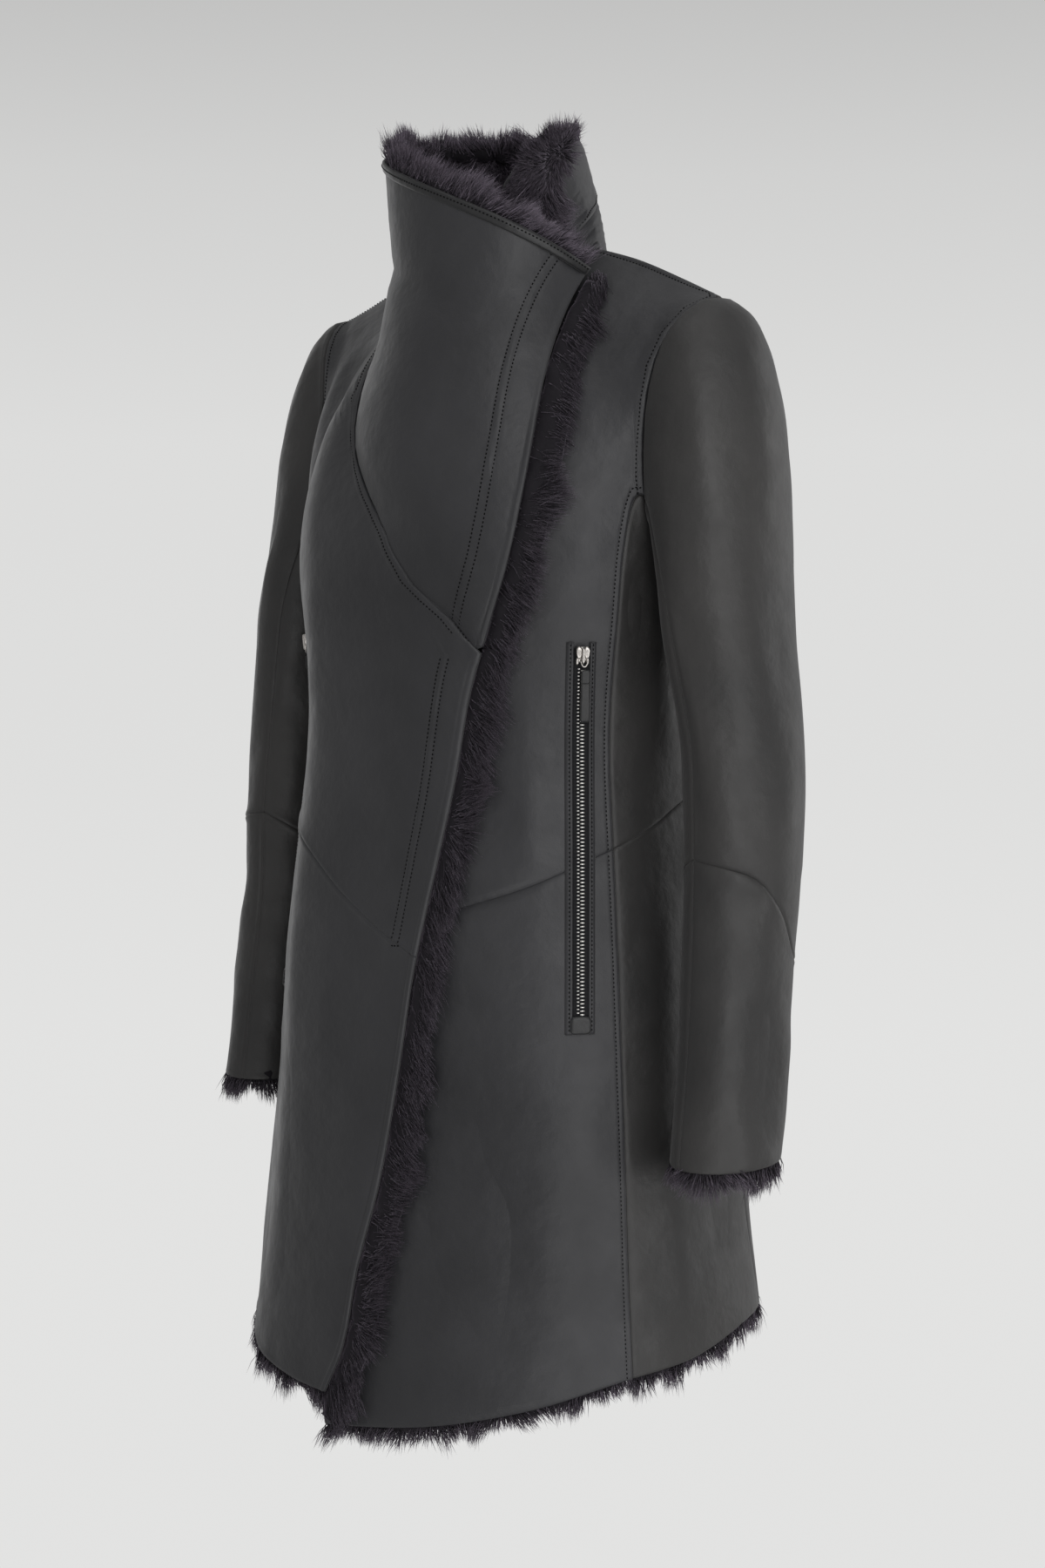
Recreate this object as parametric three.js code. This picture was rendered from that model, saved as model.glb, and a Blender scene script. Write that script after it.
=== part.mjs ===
// A hip-covering shearling coat, worn closed: a wrapped front whose right side laps over the left, a funnel
// collar made by the lapels, two-piece sleeves with an elbow seam, and a slanting zip pocket on each front.
// Millimetres. +Z is up, the wearer faces -Y, and the wearer's left is +X. The origin lies midway between the
// side-neck points at shoulder level, where the wearer's shoulders carry the coat.
//
// A place on the coat's outer face is an angle and a height. The angle, in degrees, is 0 at the centre front,
// 90 at the wearer's left side and -90 at the right. The height is Z up to BODICE, and above that it runs
// evenly to 0 at the top edge, which is the neckline, shoulder seam or armhole at that angle.
import * as THREE from "three";

// Walls, seams and layers
const WALL = 6; // skin with the dense foot of its wool
const SEAM = 0.3; // gap between neighbouring pieces
const LAP = 14; // how far the right front's outer face lies outside the left front's
const EDGE_WOOL = 13; // depth of the wool that shows past the front edge
const HEM_WOOL = 15; // how far the wool hangs below the hem
const CUFF_WOOL = 13;
const RIM_WOOL = 15; // wool standing above the collar
const LAPEL_WOOL_HIGH = 24; // wool above the lapel, at the side neck and at the other end
const LAPEL_WOOL_LOW = 12;
const EDGE_CLEAR = 0.4; // the wool's solids stand this clear of the skin's edge
const BODICE = -225; // height of the underarm, where the rings end
const TURN_DEPTH = 130; // over this depth a wall turns to face as its seam does

// Pocket zips
const ZIP_ANGLE = 58.2;
const ZIP_TOP = -279;
const ZIP_BOTTOM = -531;
const TAPE_WIDTH = 14;
const TAPE_THICK = 2;
const SLIDER = { width: 10, length: 14, height: 4.4 };
const PULL = { width: 6, length: 36, height: 2.2 };
const PATCH = { width: 15, length: 12, height: 2.2 };

const degrees = Math.PI / 180;
const vector = (x, y, z) => new THREE.Vector3(x, y, z);
const mix = (a, b, t) => a + (b - a) * t;
const smooth = (t) => THREE.MathUtils.smoothstep(t, 0, 1);

// height, half width, depth in front of the middle, depth behind it, Y of the middle, squareness
const RINGS = [
  [-860, 204, 170, 168, -28, 2.3],
  [-780, 196, 164, 160, -27, 2.3],
  [-700, 186, 156, 150, -26, 2.3],
  [-600, 177, 149, 142, -24, 2.35],
  [-500, 168, 144, 137, -21, 2.4],
  [-420, 160, 140, 133, -18, 2.4],
  [-330, 152, 134, 128, -15, 2.4],
  [-225, 160, 136, 128, -15, 2.4],
  [-150, 160, 132, 124, -15, 2.4],
];

// The bodice's top edge on the left half: angle; X, Y, Z of the edge; the way the face arrives there; the way
// the wall faces there, shared by both pieces of the seam. One table for each stretch between corners.
const TOP_EDGE = [
  [
    // front neckline
    [0, 0, -92, -95, 0, 0.3, 0.95, 0, -0.9, 0.35],
    [16, 36, -76, -66, 0, 0.45, 0.85, 0.3, -0.75, 0.55],
    [32, 72, -8, 0, 0, 0.8, 0.55, 0.6, 0, 0.8],
  ],
  [
    // front of the shoulder seam
    [32, 72, -8, 0, 0, 0.8, 0.55, 0.6, 0, 0.8],
    [42, 108, -5, -10, 0.1, 0.8, 0.55, 0.15, 0, 1],
    [52, 149, -5, -26, 0.15, 0.78, 0.55, 0.25, 0, 0.97],
    [60, 181, -5, -40, 0.3, 0.75, 0.55, 0.5, 0, 0.87],
  ],
  [
    // armhole
    [60, 181, -5, -40, 0.3, 0.75, 0.55, 0.5, 0, 0.87],
    [62, 176, -26, -44, 0.3, 0.75, 0.55, 0.5, -0.3, 0.8],
    [64, 169, -44, -59, 0.3, 0.65, 0.65, 0.5, -0.75, 0.42],
    [68, 159, -59, -104, 0.25, 0.35, 0.9, 0.2, -0.95, 0.2],
    [73, 158, -60, -176, 0.1, 0.15, 1, 0.25, -0.96, -0.1],
    [80, 160, -40, -202, 0, 0, 1, 0.2, -0.6, -0.75],
    [90, 164, -6, -212, 0, 0, 1, 0.13, 0, -1],
    [100, 162, 28, -200, 0, 0, 1, 0.2, 0.6, -0.75],
    [107, 160, 46, -172, 0.1, -0.15, 1, 0.25, 0.96, -0.1],
    [112, 161, 48, -104, 0.25, -0.35, 0.9, 0.2, 0.95, 0.2],
    [116, 170, 33, -60, 0.3, -0.65, 0.65, 0.5, 0.75, 0.42],
    [118, 176, 15, -45, 0.3, -0.75, 0.55, 0.5, 0.3, 0.8],
    [120, 181, -5, -40, 0.3, -0.75, 0.55, 0.5, 0, 0.87],
  ],
  [
    // back of the shoulder seam
    [120, 181, -5, -40, 0.3, -0.75, 0.55, 0.5, 0, 0.87],
    [128, 149, -5, -26, 0.15, -0.78, 0.55, 0.25, 0, 0.97],
    [138, 108, -5, -10, 0.1, -0.8, 0.55, 0.15, 0, 1],
    [148, 72, -8, 0, 0, -0.75, 0.6, 0.6, 0, 0.8],
  ],
  [
    // back neckline
    [148, 72, -8, 0, 0, -0.75, 0.6, 0.6, 0, 0.8],
    [158, 56, 20, -5, 0, -0.6, 0.8, 0.5, 0.55, 0.65],
    [169, 30, 38, -10, 0, -0.45, 0.9, 0.25, 0.8, 0.55],
    [180, 0, 44, -12, 0, -0.4, 0.92, 0, 0.85, 0.5],
  ],
];

// Seams and edges: place, then value. Each is read with along().
const FRONT_EDGE = [
  [-830, -6],
  [-808, -3.8],
  [-782, 0.2],
  [-713, 4.5],
  [-655, 9.8],
  [-580, 14.3],
  [-500, 18.2],
  [-439, 22.7],
  [-380, 27],
  [-306, 31.4],
  [-263, 36.2],
  [-198, 42.6],
  [-157, 44],
  [-115, 43.3],
  [-83, 42.2],
  [-35, 39.8],
]; // height, angle of the right front's edge
const COLLAR_SEAM = [
  [-279, 32.5],
  [-257, 25.6],
  [-236, 14.7],
  [-216, 8.4],
  [-185, 1.7],
  [-160, -6.6],
  [-138, -14.8],
  [-125, -22.5],
  [-110, -28],
  [-80, -31],
  [0, -32],
]; // height, angle where the lapel is sewn to the right front
const UNDER_EDGE = [
  [-840, -8],
  [-700, -14],
  [-500, -24],
  [-400, -27],
  [-300, -27],
  [-225, -22],
  [-120, -10],
  [0, 0],
]; // height, angle of the left front's covered edge
const PRINCESS = [
  [-800, 68.6],
  [-610, 68.7],
  [-460, 67.5],
  [-343, 66.5],
  [-253, 67.8],
  [-110, 70.5],
  [0, 73],
]; // height, angle of the seam from hem to the front of the armhole
const SIDE_BACK = [
  [-800, 119],
  [-750, 116],
  [-700, 112.5],
  [-620, 109],
  [-225, 108],
  [0, 107],
]; // height, angle of the seam from hem to the back of the armhole
const WAIST_LEFT = [
  [-30, -488],
  [26, -460],
  [44, -444],
  [61, -424],
  [79, -404],
  [90, -390],
  [110, -383],
  [145, -386],
  [180, -388],
]; // angle, height of the waist seam
const WAIST_RIGHT = [
  [-180, -388],
  [-145, -386],
  [-110, -383],
  [-90, -386],
  [-68, -393],
  [-50, -404],
  [-29, -424],
  [-8, -458],
  [17, -492],
  [30, -508],
];
const HEM_LEFT = [
  [-12, -838],
  [2, -831],
  [26, -817],
  [45.6, -801],
  [67, -782],
  [85, -776],
  [104, -766],
  [120, -767],
  [150, -776],
  [180, -780],
]; // angle, height of the leather's lower edge
const HEM_RIGHT = [
  [-180, -780],
  [-150, -776],
  [-120, -767],
  [-104, -767],
  [-85, -776],
  [-67, -784],
  [-50, -789],
  [-31, -799],
  [-16, -806],
  [-4, -808],
  [8, -808],
];

// The collar: angle round the neck, Z of its top edge, and radius of the top ring about its own middle
const COLLAR_MIDDLE = vector(0, -55, 0);
const COLLAR_TOP = [
  [20, 58, 62],
  [60, 66, 64],
  [90, 71, 68],
  [130, 76, 72],
  [180, 79, 73],
  [230, 79, 73],
  [270, 74, 72],
];
// angle round the neck, angle on the bodice whose top edge carries it
const NECK_TO_BODICE = { 20: 7, 45: 16, 90: 32, 120: 158, 150: 169, 180: 180 };

// The lapel's sections, from the foot of its seam to its top edge. Height on the collar seam (or the share of
// the collar's height past the side neck), height on the front edge, heading of the section as it leaves the
// seam, heading as it reaches the edge, length of both handles as a share of the chord, rise of its middle.
const LAPEL = [
  [-279, -277, 33, 34, 0.33, 0],
  [-262, -271, 28, 36, 0.33, 0],
  [-250, -263, 22, 38, 0.33, 0],
  [-238, -254, 15, 40, 0.34, 0],
  [-225, -244, 9, 41, 0.34, 0],
  [-205, -230, 1, 42, 0.34, 0],
  [-190, -214, -7, 43, 0.35, 0],
  [-165, -198, -20, 43, 0.35, 1],
  [-150, -182, -30, 44, 0.36, 2],
  [-130, -167, -42, 45, 0.38, 3],
  [-110, -151, -52, 47, 0.4, 5],
  [-75, -132, -68, 51, 0.44, 7],
  [-38, -112, -86, 57, 0.49, 9],
  [0, -92, -103, 65, 0.52, 10],
  [0.33, -72, -99, 74, 0.53, 10],
  [0.66, -54, -91, 83, 0.53, 9.5],
  [1, -36, -82, 92, 0.53, 9],
];
const SIDE_NECK_ROW = 13; // the row that starts at the side neck

// Sleeve: Z, X and Y of the middle, half width across, half depth front to back, squareness
const SLEEVE = [
  [-280, 204, -22, 38, 53, 2.15],
  [-341, 215, -24, 37, 48, 2.15],
  [-408, 220.5, -28, 36, 47, 2.15],
  [-490, 221.5, -34, 34, 44, 2.15],
  [-549, 224, -42, 33, 43, 2.15],
  [-632, 226, -53, 33, 43.5, 2.15],
  [-660, 227, -57, 33, 44, 2.15],
];
// Round the sleeve: angle on the bodice where the column starts, its angle round the sleeve (0 is front,
// 90 is outward), and the way and strength with which it leaves the armhole
const SLEEVE_COLUMNS = [
  [73, -10, 0.45, -0.25, -0.85],
  [68, 20, 0.56, -0.14, -0.55],
  [64, 52, 0.49, -0.24, -0.14],
  [60, 90, 0.61, 0, -0.1],
  [116, 128, 0.49, 0.24, -0.14],
  [112, 160, 0.56, 0.14, -0.55],
  [107, 190, 0.45, 0.25, -0.85],
  [100, 228, 0.3, 0.12, -0.9],
  [90, 270, 0.25, 0, -0.95],
  [80, 312, 0.3, -0.12, -0.9],
  [73, 350, 0.45, -0.25, -0.85],
];
const OUTER_COLUMNS = [0, 6];
const UNDER_COLUMNS = [6, 10];
const ELBOW = [
  [-10, -420],
  [20, -424],
  [55, -434],
  [76, -447],
  [97, -462],
  [115, -480],
  [190, -492],
  [270, -452],
  [350, -420],
]; // angle round the sleeve, height of the elbow seam
const CUFF = -629;
const CAP_ROWS = [0, 0.1, 0.25, 0.45, 0.7, 1];

// Angles between two others, as shares of the way from one to the other
const topShares = (from, to, angles) => angles.map((angle) => (angle - from) / (to - from));

// The other columns of a table at a place in its first column, on a smooth curve through the rows.
function along(rows, place) {
  let i = 0;
  while (i < rows.length - 2 && place > rows[i + 1][0]) i++;
  if (rows[0][0] > rows[rows.length - 1][0]) {
    i = 0;
    while (i < rows.length - 2 && place < rows[i + 1][0]) i++;
  }
  const [a, b] = [rows[i], rows[i + 1]];
  const before = rows[i - 1] ?? a;
  const after = rows[i + 2] ?? b;
  const gap = b[0] - a[0];
  const t = (place - a[0]) / gap;
  const inside = THREE.MathUtils.clamp(t, 0, 1);
  const rise = (p, q, k) => (q === p ? 0 : (q[k] - p[k]) / (q[0] - p[0]));
  return a.slice(1).map((_, column) => {
    const k = column + 1;
    const here = rise(a, b, k);
    const last = before === a ? here : blendSlopes(rise(before, a, k), here, a[0] - before[0], gap);
    const next = after === b ? here : blendSlopes(here, rise(b, after, k), gap, after[0] - b[0]);
    const value = hermite(a[k], b[k], last * gap, next * gap, inside);
    return value + (t - inside) * gap * (t > 1 ? next : last);
  });
}
const blendSlopes = (first, second, firstGap, secondGap) =>
  (first * secondGap + second * firstGap) / (firstGap + secondGap);
const hermite = (a, b, da, db, t) =>
  (2 * t ** 3 - 3 * t ** 2 + 1) * a +
  (t ** 3 - 2 * t ** 2 + t) * da +
  (3 * t ** 2 - 2 * t ** 3) * b +
  (t ** 3 - t ** 2) * db;
const read = (rows, place) => along(rows, place)[0];

// A point of an oval in plan: half width, depth in front and behind, middle, squareness, angle.
function oval(halfWidth, front, back, middleX, middleY, square, angle, z) {
  const [s, c] = [Math.sin(angle * degrees), Math.cos(angle * degrees)];
  const depth = c > 0 ? front : back;
  const r = (Math.abs(s / halfWidth) ** square + Math.abs(c / depth) ** square) ** (-1 / square);
  return vector(middleX + r * s, middleY - r * c, z);
}
function ring(angle, z) {
  const [halfWidth, front, back, middle, square] = along(RINGS, z);
  return oval(halfWidth, front, back, 0, middle, square, angle, z);
}
function topEdge(angle) {
  const side = Math.sign(angle) || 1;
  const a = Math.min(Math.abs(angle), 180);
  const stretch = TOP_EDGE.find((rows) => a <= rows[rows.length - 1][0]);
  const [x, y, z, ex, ey, ez, wx, wy, wz] = along(stretch, a);
  return {
    place: vector(x * side, y, z),
    arrive: vector(ex * side, ey, ez).normalize(),
    wall: vector(wx * side, wy, wz).normalize(),
  };
}
// The coat's outer face without the lap of the right front.
function face(angle, height) {
  if (height <= BODICE) return ring(angle, height);
  const from = ring(angle, BODICE);
  const step = 10;
  const leave = from.clone().sub(ring(angle, BODICE - step)).divideScalar(step);
  const { place, arrive } = topEdge(angle);
  const reach = from.distanceTo(place);
  const t = 1 - height / BODICE;
  const at = (axis) => hermite(from[axis], place[axis], leave[axis] * reach, arrive[axis] * reach * 0.9, t);
  return vector(at("x"), at("y"), at("z"));
}
// Outward direction of a face given as a function of two numbers, from its slopes there.
function outward(surface, u, v, du, dv, vTop = Infinity) {
  const high = Math.min(v + dv, vTop);
  const across = surface(u + du, v).sub(surface(u - du, v));
  const up = surface(u, high).sub(surface(u, high - 2 * dv));
  return across.cross(up).normalize();
}
// How far the right front lies outside the face.
const lap = (angle, height) => LAP * smooth((angle + 52) / 26) * smooth((-height - 30) / 120);

// A place on the face or a layer of it: the point and the way the wall faces there.
function onBody(turned, height, layer = 0) {
  const angle = turned > 180 ? turned - 360 : turned;
  const wall = outward(face, angle, height, 0.4, 1.5, 0);
  const point = face(angle, height).addScaledVector(wall, layer);
  const turn = THREE.MathUtils.clamp(1 + height / TURN_DEPTH, 0, 1) ** 2;
  return { point, wall: wall.lerp(topEdge(angle).wall, turn).normalize() };
}
const onRight = (angle, height) => onBody(angle, height, lap(angle, height));

// Closed solid from a grid of outer points and a grid of inner points, rows by columns.
function solidOf(outer, inner) {
  const [rows, columns] = [outer.length, outer[0].length];
  const points = [...outer.flat(), ...inner.flat()];
  const index = [];
  const id = (r, c, layer) => layer * rows * columns + r * columns + c;
  // The shorter diagonal parts each quad, so that both pieces of a seam part it alike.
  const quad = (a, b, c, d) => {
    const straight = points[a].distanceTo(points[c]) < points[b].distanceTo(points[d]);
    index.push(...(straight ? [a, b, c, a, c, d] : [b, c, d, b, d, a]));
  };
  for (let r = 0; r < rows - 1; r++)
    for (let c = 0; c < columns - 1; c++) {
      quad(id(r, c, 0), id(r, c + 1, 0), id(r + 1, c + 1, 0), id(r + 1, c, 0));
      quad(id(r, c, 1), id(r + 1, c, 1), id(r + 1, c + 1, 1), id(r, c + 1, 1));
    }
  for (let c = 0; c < columns - 1; c++) {
    quad(id(0, c, 0), id(0, c, 1), id(0, c + 1, 1), id(0, c + 1, 0));
    quad(id(rows - 1, c, 0), id(rows - 1, c + 1, 0), id(rows - 1, c + 1, 1), id(rows - 1, c, 1));
  }
  for (let r = 0; r < rows - 1; r++) {
    quad(id(r, 0, 0), id(r + 1, 0, 0), id(r + 1, 0, 1), id(r, 0, 1));
    quad(id(r, columns - 1, 0), id(r, columns - 1, 1), id(r + 1, columns - 1, 1), id(r + 1, columns - 1, 0));
  }
  const geometry = new THREE.BufferGeometry().setFromPoints(points);
  geometry.setIndex(index);
  geometry.computeVertexNormals();
  return geometry;
}
// Closed solid from equal sections, each a loop of points, capped at both ends or joined into a ring.
function loft(sections, isRing = false) {
  const count = sections[0].length;
  const points = sections.flat();
  const index = [];
  const last = isRing ? sections.length : sections.length - 1;
  for (let s = 0; s < last; s++)
    for (let k = 0; k < count; k++) {
      const [a, b] = [s * count, ((s + 1) % sections.length) * count];
      const next = (k + 1) % count;
      index.push(a + k, a + next, b + next, a + k, b + next, b + k);
    }
  if (!isRing) {
    const end = (sections.length - 1) * count;
    for (let k = 1; k < count - 1; k++) index.push(0, k + 1, k, end, end + k, end + k + 1);
  }
  const geometry = new THREE.BufferGeometry().setFromPoints(points);
  geometry.setIndex(index);
  geometry.computeVertexNormals();
  return geometry;
}
// A wall through a grid of places. Its edges step back by half a seam, square to the shared wall direction.
function wallOf(places, thickness = WALL) {
  const outer = places.map((row) => row.map((p) => p.point.clone()));
  const inner = places.map((row) => row.map((p) => p.point.clone().addScaledVector(p.wall, -thickness)));
  const [rows, columns] = [places.length, places[0].length];
  const stepBack = (r, c, nr, nc) => {
    const { point, wall } = places[r][c];
    const way = places[nr][nc].point.clone().sub(point);
    way.addScaledVector(wall, -way.dot(wall)).setLength(SEAM / 2);
    outer[r][c].add(way);
    inner[r][c].add(way);
  };
  for (let c = 0; c < columns; c++) {
    stepBack(0, c, 1, c);
    stepBack(rows - 1, c, rows - 2, c);
  }
  for (let r = 0; r < rows; r++) {
    stepBack(r, 0, r, 1);
    stepBack(r, columns - 1, r, columns - 2);
  }
  return solidOf(outer, inner);
}

// Rows of a panel: each gives the height at an angle. Columns: shares of the way from one side to the other.
const shares = (count) => Array.from({ length: count + 1 }, (_, k) => k / count);
function panel(place, heights, from, to, columns) {
  return heights.map((heightAt) =>
    columns.map((share) => {
      let height = BODICE;
      let angle = 0;
      for (let pass = 0; pass < 5; pass++) {
        angle = mix(from(height), to(height), share);
        height = heightAt(angle);
      }
      return place(angle, height);
    }),
  );
}
const level = (z) => () => z;
const between = (low, high, count) =>
  shares(count).map((t) => (angle) => mix(low(angle), high(angle), t));
const waistLeft = (angle) => read(WAIST_LEFT, angle);
const waistRight = (angle) => read(WAIST_RIGHT, angle > 180 ? angle - 360 : angle);
const hemLeft = (angle) => read(HEM_LEFT, angle);
const hemRight = (angle) => read(HEM_RIGHT, angle);
const frontEdge = (height) => read(FRONT_EDGE, height);
const underEdge = (height) => read(UNDER_EDGE, height);
const princess = (height) => read(PRINCESS, height);
const sideBack = (height) => read(SIDE_BACK, height);
const LAPEL_FOOT = LAPEL[0][0];
const rightFrontEnd = (height) =>
  height < LAPEL_FOOT - 0.01 ? frontEdge(height) : read(COLLAR_SEAM, height);
const negative = (curve) => (height) => -curve(height);

const group = new THREE.Group();
const finish = (color, roughness, metalness = 0) =>
  new THREE.MeshStandardMaterial({ color, roughness, metalness, side: THREE.DoubleSide });
const leather = () => finish(0x2c2c30, 0.55);
const wool = () => finish(0x3a3440, 0.95);
const metal = () => finish(0x8f9092, 0.3, 1);
const tape = () => finish(0x141416, 0.8);
function add(name, geometry, material) {
  const mesh = new THREE.Mesh(geometry, material);
  mesh.name = name;
  group.add(mesh);
}

// Fronts, sides and back
const BODICE_ROWS = [-190, -150, -110, -75, -38, 0];
const CHEST_ROWS = LAPEL.slice(1, SIDE_NECK_ROW + 1).map(([height]) => height);
const RIGHT_COLUMNS = topShares(73, 32, [73, 68, 64, 60, 56, 52, 47, 42, 37, 32]);
const LEFT_COLUMNS = topShares(0, 73, [0, 8, 12, 16, 24, 32, 37, 42, 47, 52, 56, 60, 64, 68, 73]);
const SIDE_COLUMNS = topShares(73, 107, [73, 80, 90, 100, 107]);
const SIDE_COLUMNS_RIGHT = SIDE_COLUMNS.map((share) => 1 - share).reverse();
const BACK_STATIONS = [107, 112, 116, 120, 124, 128, 133, 138, 143, 148, 153, 158, 163.5, 169, 174.5, 180];
const BACK_HALF = topShares(107, 180, BACK_STATIONS).map((share) => share / 2);
const BACK_OTHER_HALF = BACK_HALF.slice(0, -1).map((share) => 1 - share);
const BACK_COLUMNS = [...BACK_HALF, ...BACK_OTHER_HALF.reverse()];

function fronts() {
  const foot = [...between(waistRight, level(LAPEL_FOOT), 5)];
  const chest = CHEST_ROWS.map(level);
  const rightSide = negative(princess);
  add(
    "front_right_upper",
    wallOf(panel(onRight, [...foot, ...chest], rightSide, rightFrontEnd, RIGHT_COLUMNS)),
    leather(),
  );
  add(
    "front_right_lower",
    wallOf(panel(onRight, between(hemRight, waistRight, 8), rightSide, frontEdge, RIGHT_COLUMNS)),
    leather(),
  );
  const left = [...between(waistLeft, level(BODICE), 5), ...BODICE_ROWS.map(level)];
  add("front_left_upper", wallOf(panel(onBody, left, underEdge, princess, LEFT_COLUMNS)), leather());
  add(
    "front_left_lower",
    wallOf(panel(onBody, between(hemLeft, waistLeft, 8), underEdge, princess, LEFT_COLUMNS)),
    leather(),
  );
}
function sides() {
  const top = [...between(waistLeft, level(BODICE), 5), ...BODICE_ROWS.map(level)];
  const topRight = [...between(waistRight, level(BODICE), 5), ...BODICE_ROWS.map(level)];
  add("side_left_upper", wallOf(panel(onBody, top, princess, sideBack, SIDE_COLUMNS)), leather());
  add(
    "side_left_lower",
    wallOf(panel(onBody, between(hemLeft, waistLeft, 8), princess, sideBack, SIDE_COLUMNS)),
    leather(),
  );
  const back = negative(sideBack);
  const front = negative(princess);
  add("side_right_upper", wallOf(panel(onBody, topRight, back, front, SIDE_COLUMNS_RIGHT)), leather());
  add(
    "side_right_lower",
    wallOf(panel(onBody, between(hemRight, waistRight, 8), back, front, SIDE_COLUMNS_RIGHT)),
    leather(),
  );
}
function back() {
  const end = (height) => 360 - sideBack(height);
  const waist = (angle) => waistLeft(angle > 180 ? 360 - angle : angle);
  const hem = (angle) => hemLeft(angle > 180 ? 360 - angle : angle);
  const top = [...between(waist, level(BODICE), 5), ...BODICE_ROWS.map(level)];
  add("back_upper", wallOf(panel(onBody, top, sideBack, end, BACK_COLUMNS)), leather());
  add("back_lower", wallOf(panel(onBody, between(hem, waist, 8), sideBack, end, BACK_COLUMNS)), leather());
}

// Collar and lapel. The collar's place is an angle round the neck and a share of its height.
function neckAngle(angle) {
  const a = angle > 180 ? 360 - angle : angle;
  const knots = Object.keys(NECK_TO_BODICE).map(Number);
  const table = knots.map((k) => [k, NECK_TO_BODICE[k]]);
  const part = a <= 90 ? table.filter(([k]) => k <= 90) : [[90, 148], ...table.filter(([k]) => k > 90)];
  let i = 0;
  while (i < part.length - 2 && a > part[i + 1][0]) i++;
  const t = (a - part[i][0]) / (part[i + 1][0] - part[i][0]);
  return mix(part[i][1], part[i + 1][1], t) * (angle > 180 ? -1 : 1);
}
function collarFace(angle, share) {
  const foot = topEdge(neckAngle(angle)).place;
  const [z, radius] = along(COLLAR_TOP, angle);
  const [s, c] = [Math.sin(angle * degrees), Math.cos(angle * degrees)];
  const top = vector(COLLAR_MIDDLE.x + radius * s, COLLAR_MIDDLE.y - radius * c, z);
  const swell = 10 * share * (1 - share);
  return foot.lerp(top, share).add(vector(s * swell, -c * swell, 0));
}
function onCollar(angle, share, layer = 0) {
  const wall = outward(collarFace, angle, share, 1, 0.05);
  const point = collarFace(angle, share).addScaledVector(wall, layer);
  return { point, wall: share < 0.01 ? topEdge(neckAngle(angle)).wall : wall };
}
const COLLAR_SEAM_LEFT = [
  [0, 45],
  [0.12, 66],
  [0.55, 130],
  [1, 168],
]; // share of the collar's height, angle of the slanting seam on the left
const COLLAR_FRONT = [
  [0, 22.8],
  [0.33, 40],
  [0.66, 50],
  [0.83, 59],
  [1, 83],
]; // share of the height, angle of the left collar's front edge
const COLLAR_END = 270;
const COLLAR_ROWS = [0.006, 0.16, 0.33, 0.5, 0.66, 0.83, 1];

function collar() {
  const stretch = (from, to, columns) =>
    COLLAR_ROWS.map((share) => columns.map((t) => onCollar(mix(from(share), to(share), t), share)));
  const front = (share) => read(COLLAR_FRONT, share);
  const seam = (share) => read(COLLAR_SEAM_LEFT, share);
  add("collar_left", wallOf(stretch(front, seam, shares(4))), leather());
  const turns = [45, 67.5, 90, 105, 120, 135, 150, 165, 180, 195, 210, 225, 240, 255, COLLAR_END];
  const backColumns = topShares(45, COLLAR_END, turns);
  add("collar_back", wallOf(stretch(seam, () => COLLAR_END, backColumns)), leather());
}

const lapelStart = (row) =>
  row <= SIDE_NECK_ROW
    ? onRight(read(COLLAR_SEAM, LAPEL[row][0]), LAPEL[row][0])
    : onCollar(COLLAR_END, LAPEL[row][0]);
function lapelRow(row, t) {
  const [, edge, leaveAngle, reachAngle, handle, rise] = LAPEL[row];
  const from = lapelStart(row).point;
  const to = onBody(frontEdge(edge), edge, LAP).point;
  const reach = from.distanceTo(to) * handle;
  const heading = (angle) => vector(Math.cos(angle * degrees), Math.sin(angle * degrees), 0);
  const third = from.clone().lerp(to, 1 / 3);
  const twoThirds = from.clone().lerp(to, 2 / 3);
  const leave = from.clone().addScaledVector(heading(leaveAngle), reach).setZ(third.z);
  const arrive = to.clone().addScaledVector(heading(reachAngle), -reach).setZ(twoThirds.z);
  const point = new THREE.CubicBezierCurve3(from, leave, arrive, to).getPoint(t);
  return point.add(vector(0, 0, 4 * rise * t * (1 - t)));
}
function lapelFace(t, row) {
  const r = THREE.MathUtils.clamp(row, 0, LAPEL.length - 1);
  const low = Math.min(Math.floor(r), LAPEL.length - 2);
  return lapelRow(low, t).lerp(lapelRow(low + 1, t), r - low);
}
function onLapel(t, row, layer = 0) {
  const wall = outward(lapelFace, THREE.MathUtils.clamp(t, 0.02, 0.98), row, 0.02, 0.5, LAPEL.length - 1);
  const sewn = t < 0.001 ? lapelStart(row).wall : wall;
  return { point: lapelFace(t, row).addScaledVector(sewn, layer), wall: sewn };
}
const LAPEL_COLUMNS = shares(10);
const LAPEL_TOP = LAPEL.length - 1;
const BAND_WIDTH = 7;
const BAND_THICK = 1.6;
function lapel() {
  add(
    "lapel_right",
    wallOf(LAPEL.map((_, row) => LAPEL_COLUMNS.map((t) => onLapel(t, row)))),
    leather(),
  );
  const bandColumns = shares(14).map((t) => mix(0.01, 0.99, t));
  const strip = [BAND_WIDTH, 0].map((down) =>
    bandColumns.map((t) => {
      const { wall } = onLapel(t, LAPEL_TOP);
      const edge = lapelFace(t, LAPEL_TOP);
      const drop = lapelFace(t, LAPEL_TOP - 1).sub(edge).setLength(down + 0.01);
      return { point: edge.add(drop).addScaledVector(wall, BAND_THICK + 0.8), wall };
    }),
  );
  add("lapel_band", wallOf(strip, BAND_THICK), leather());
}

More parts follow.
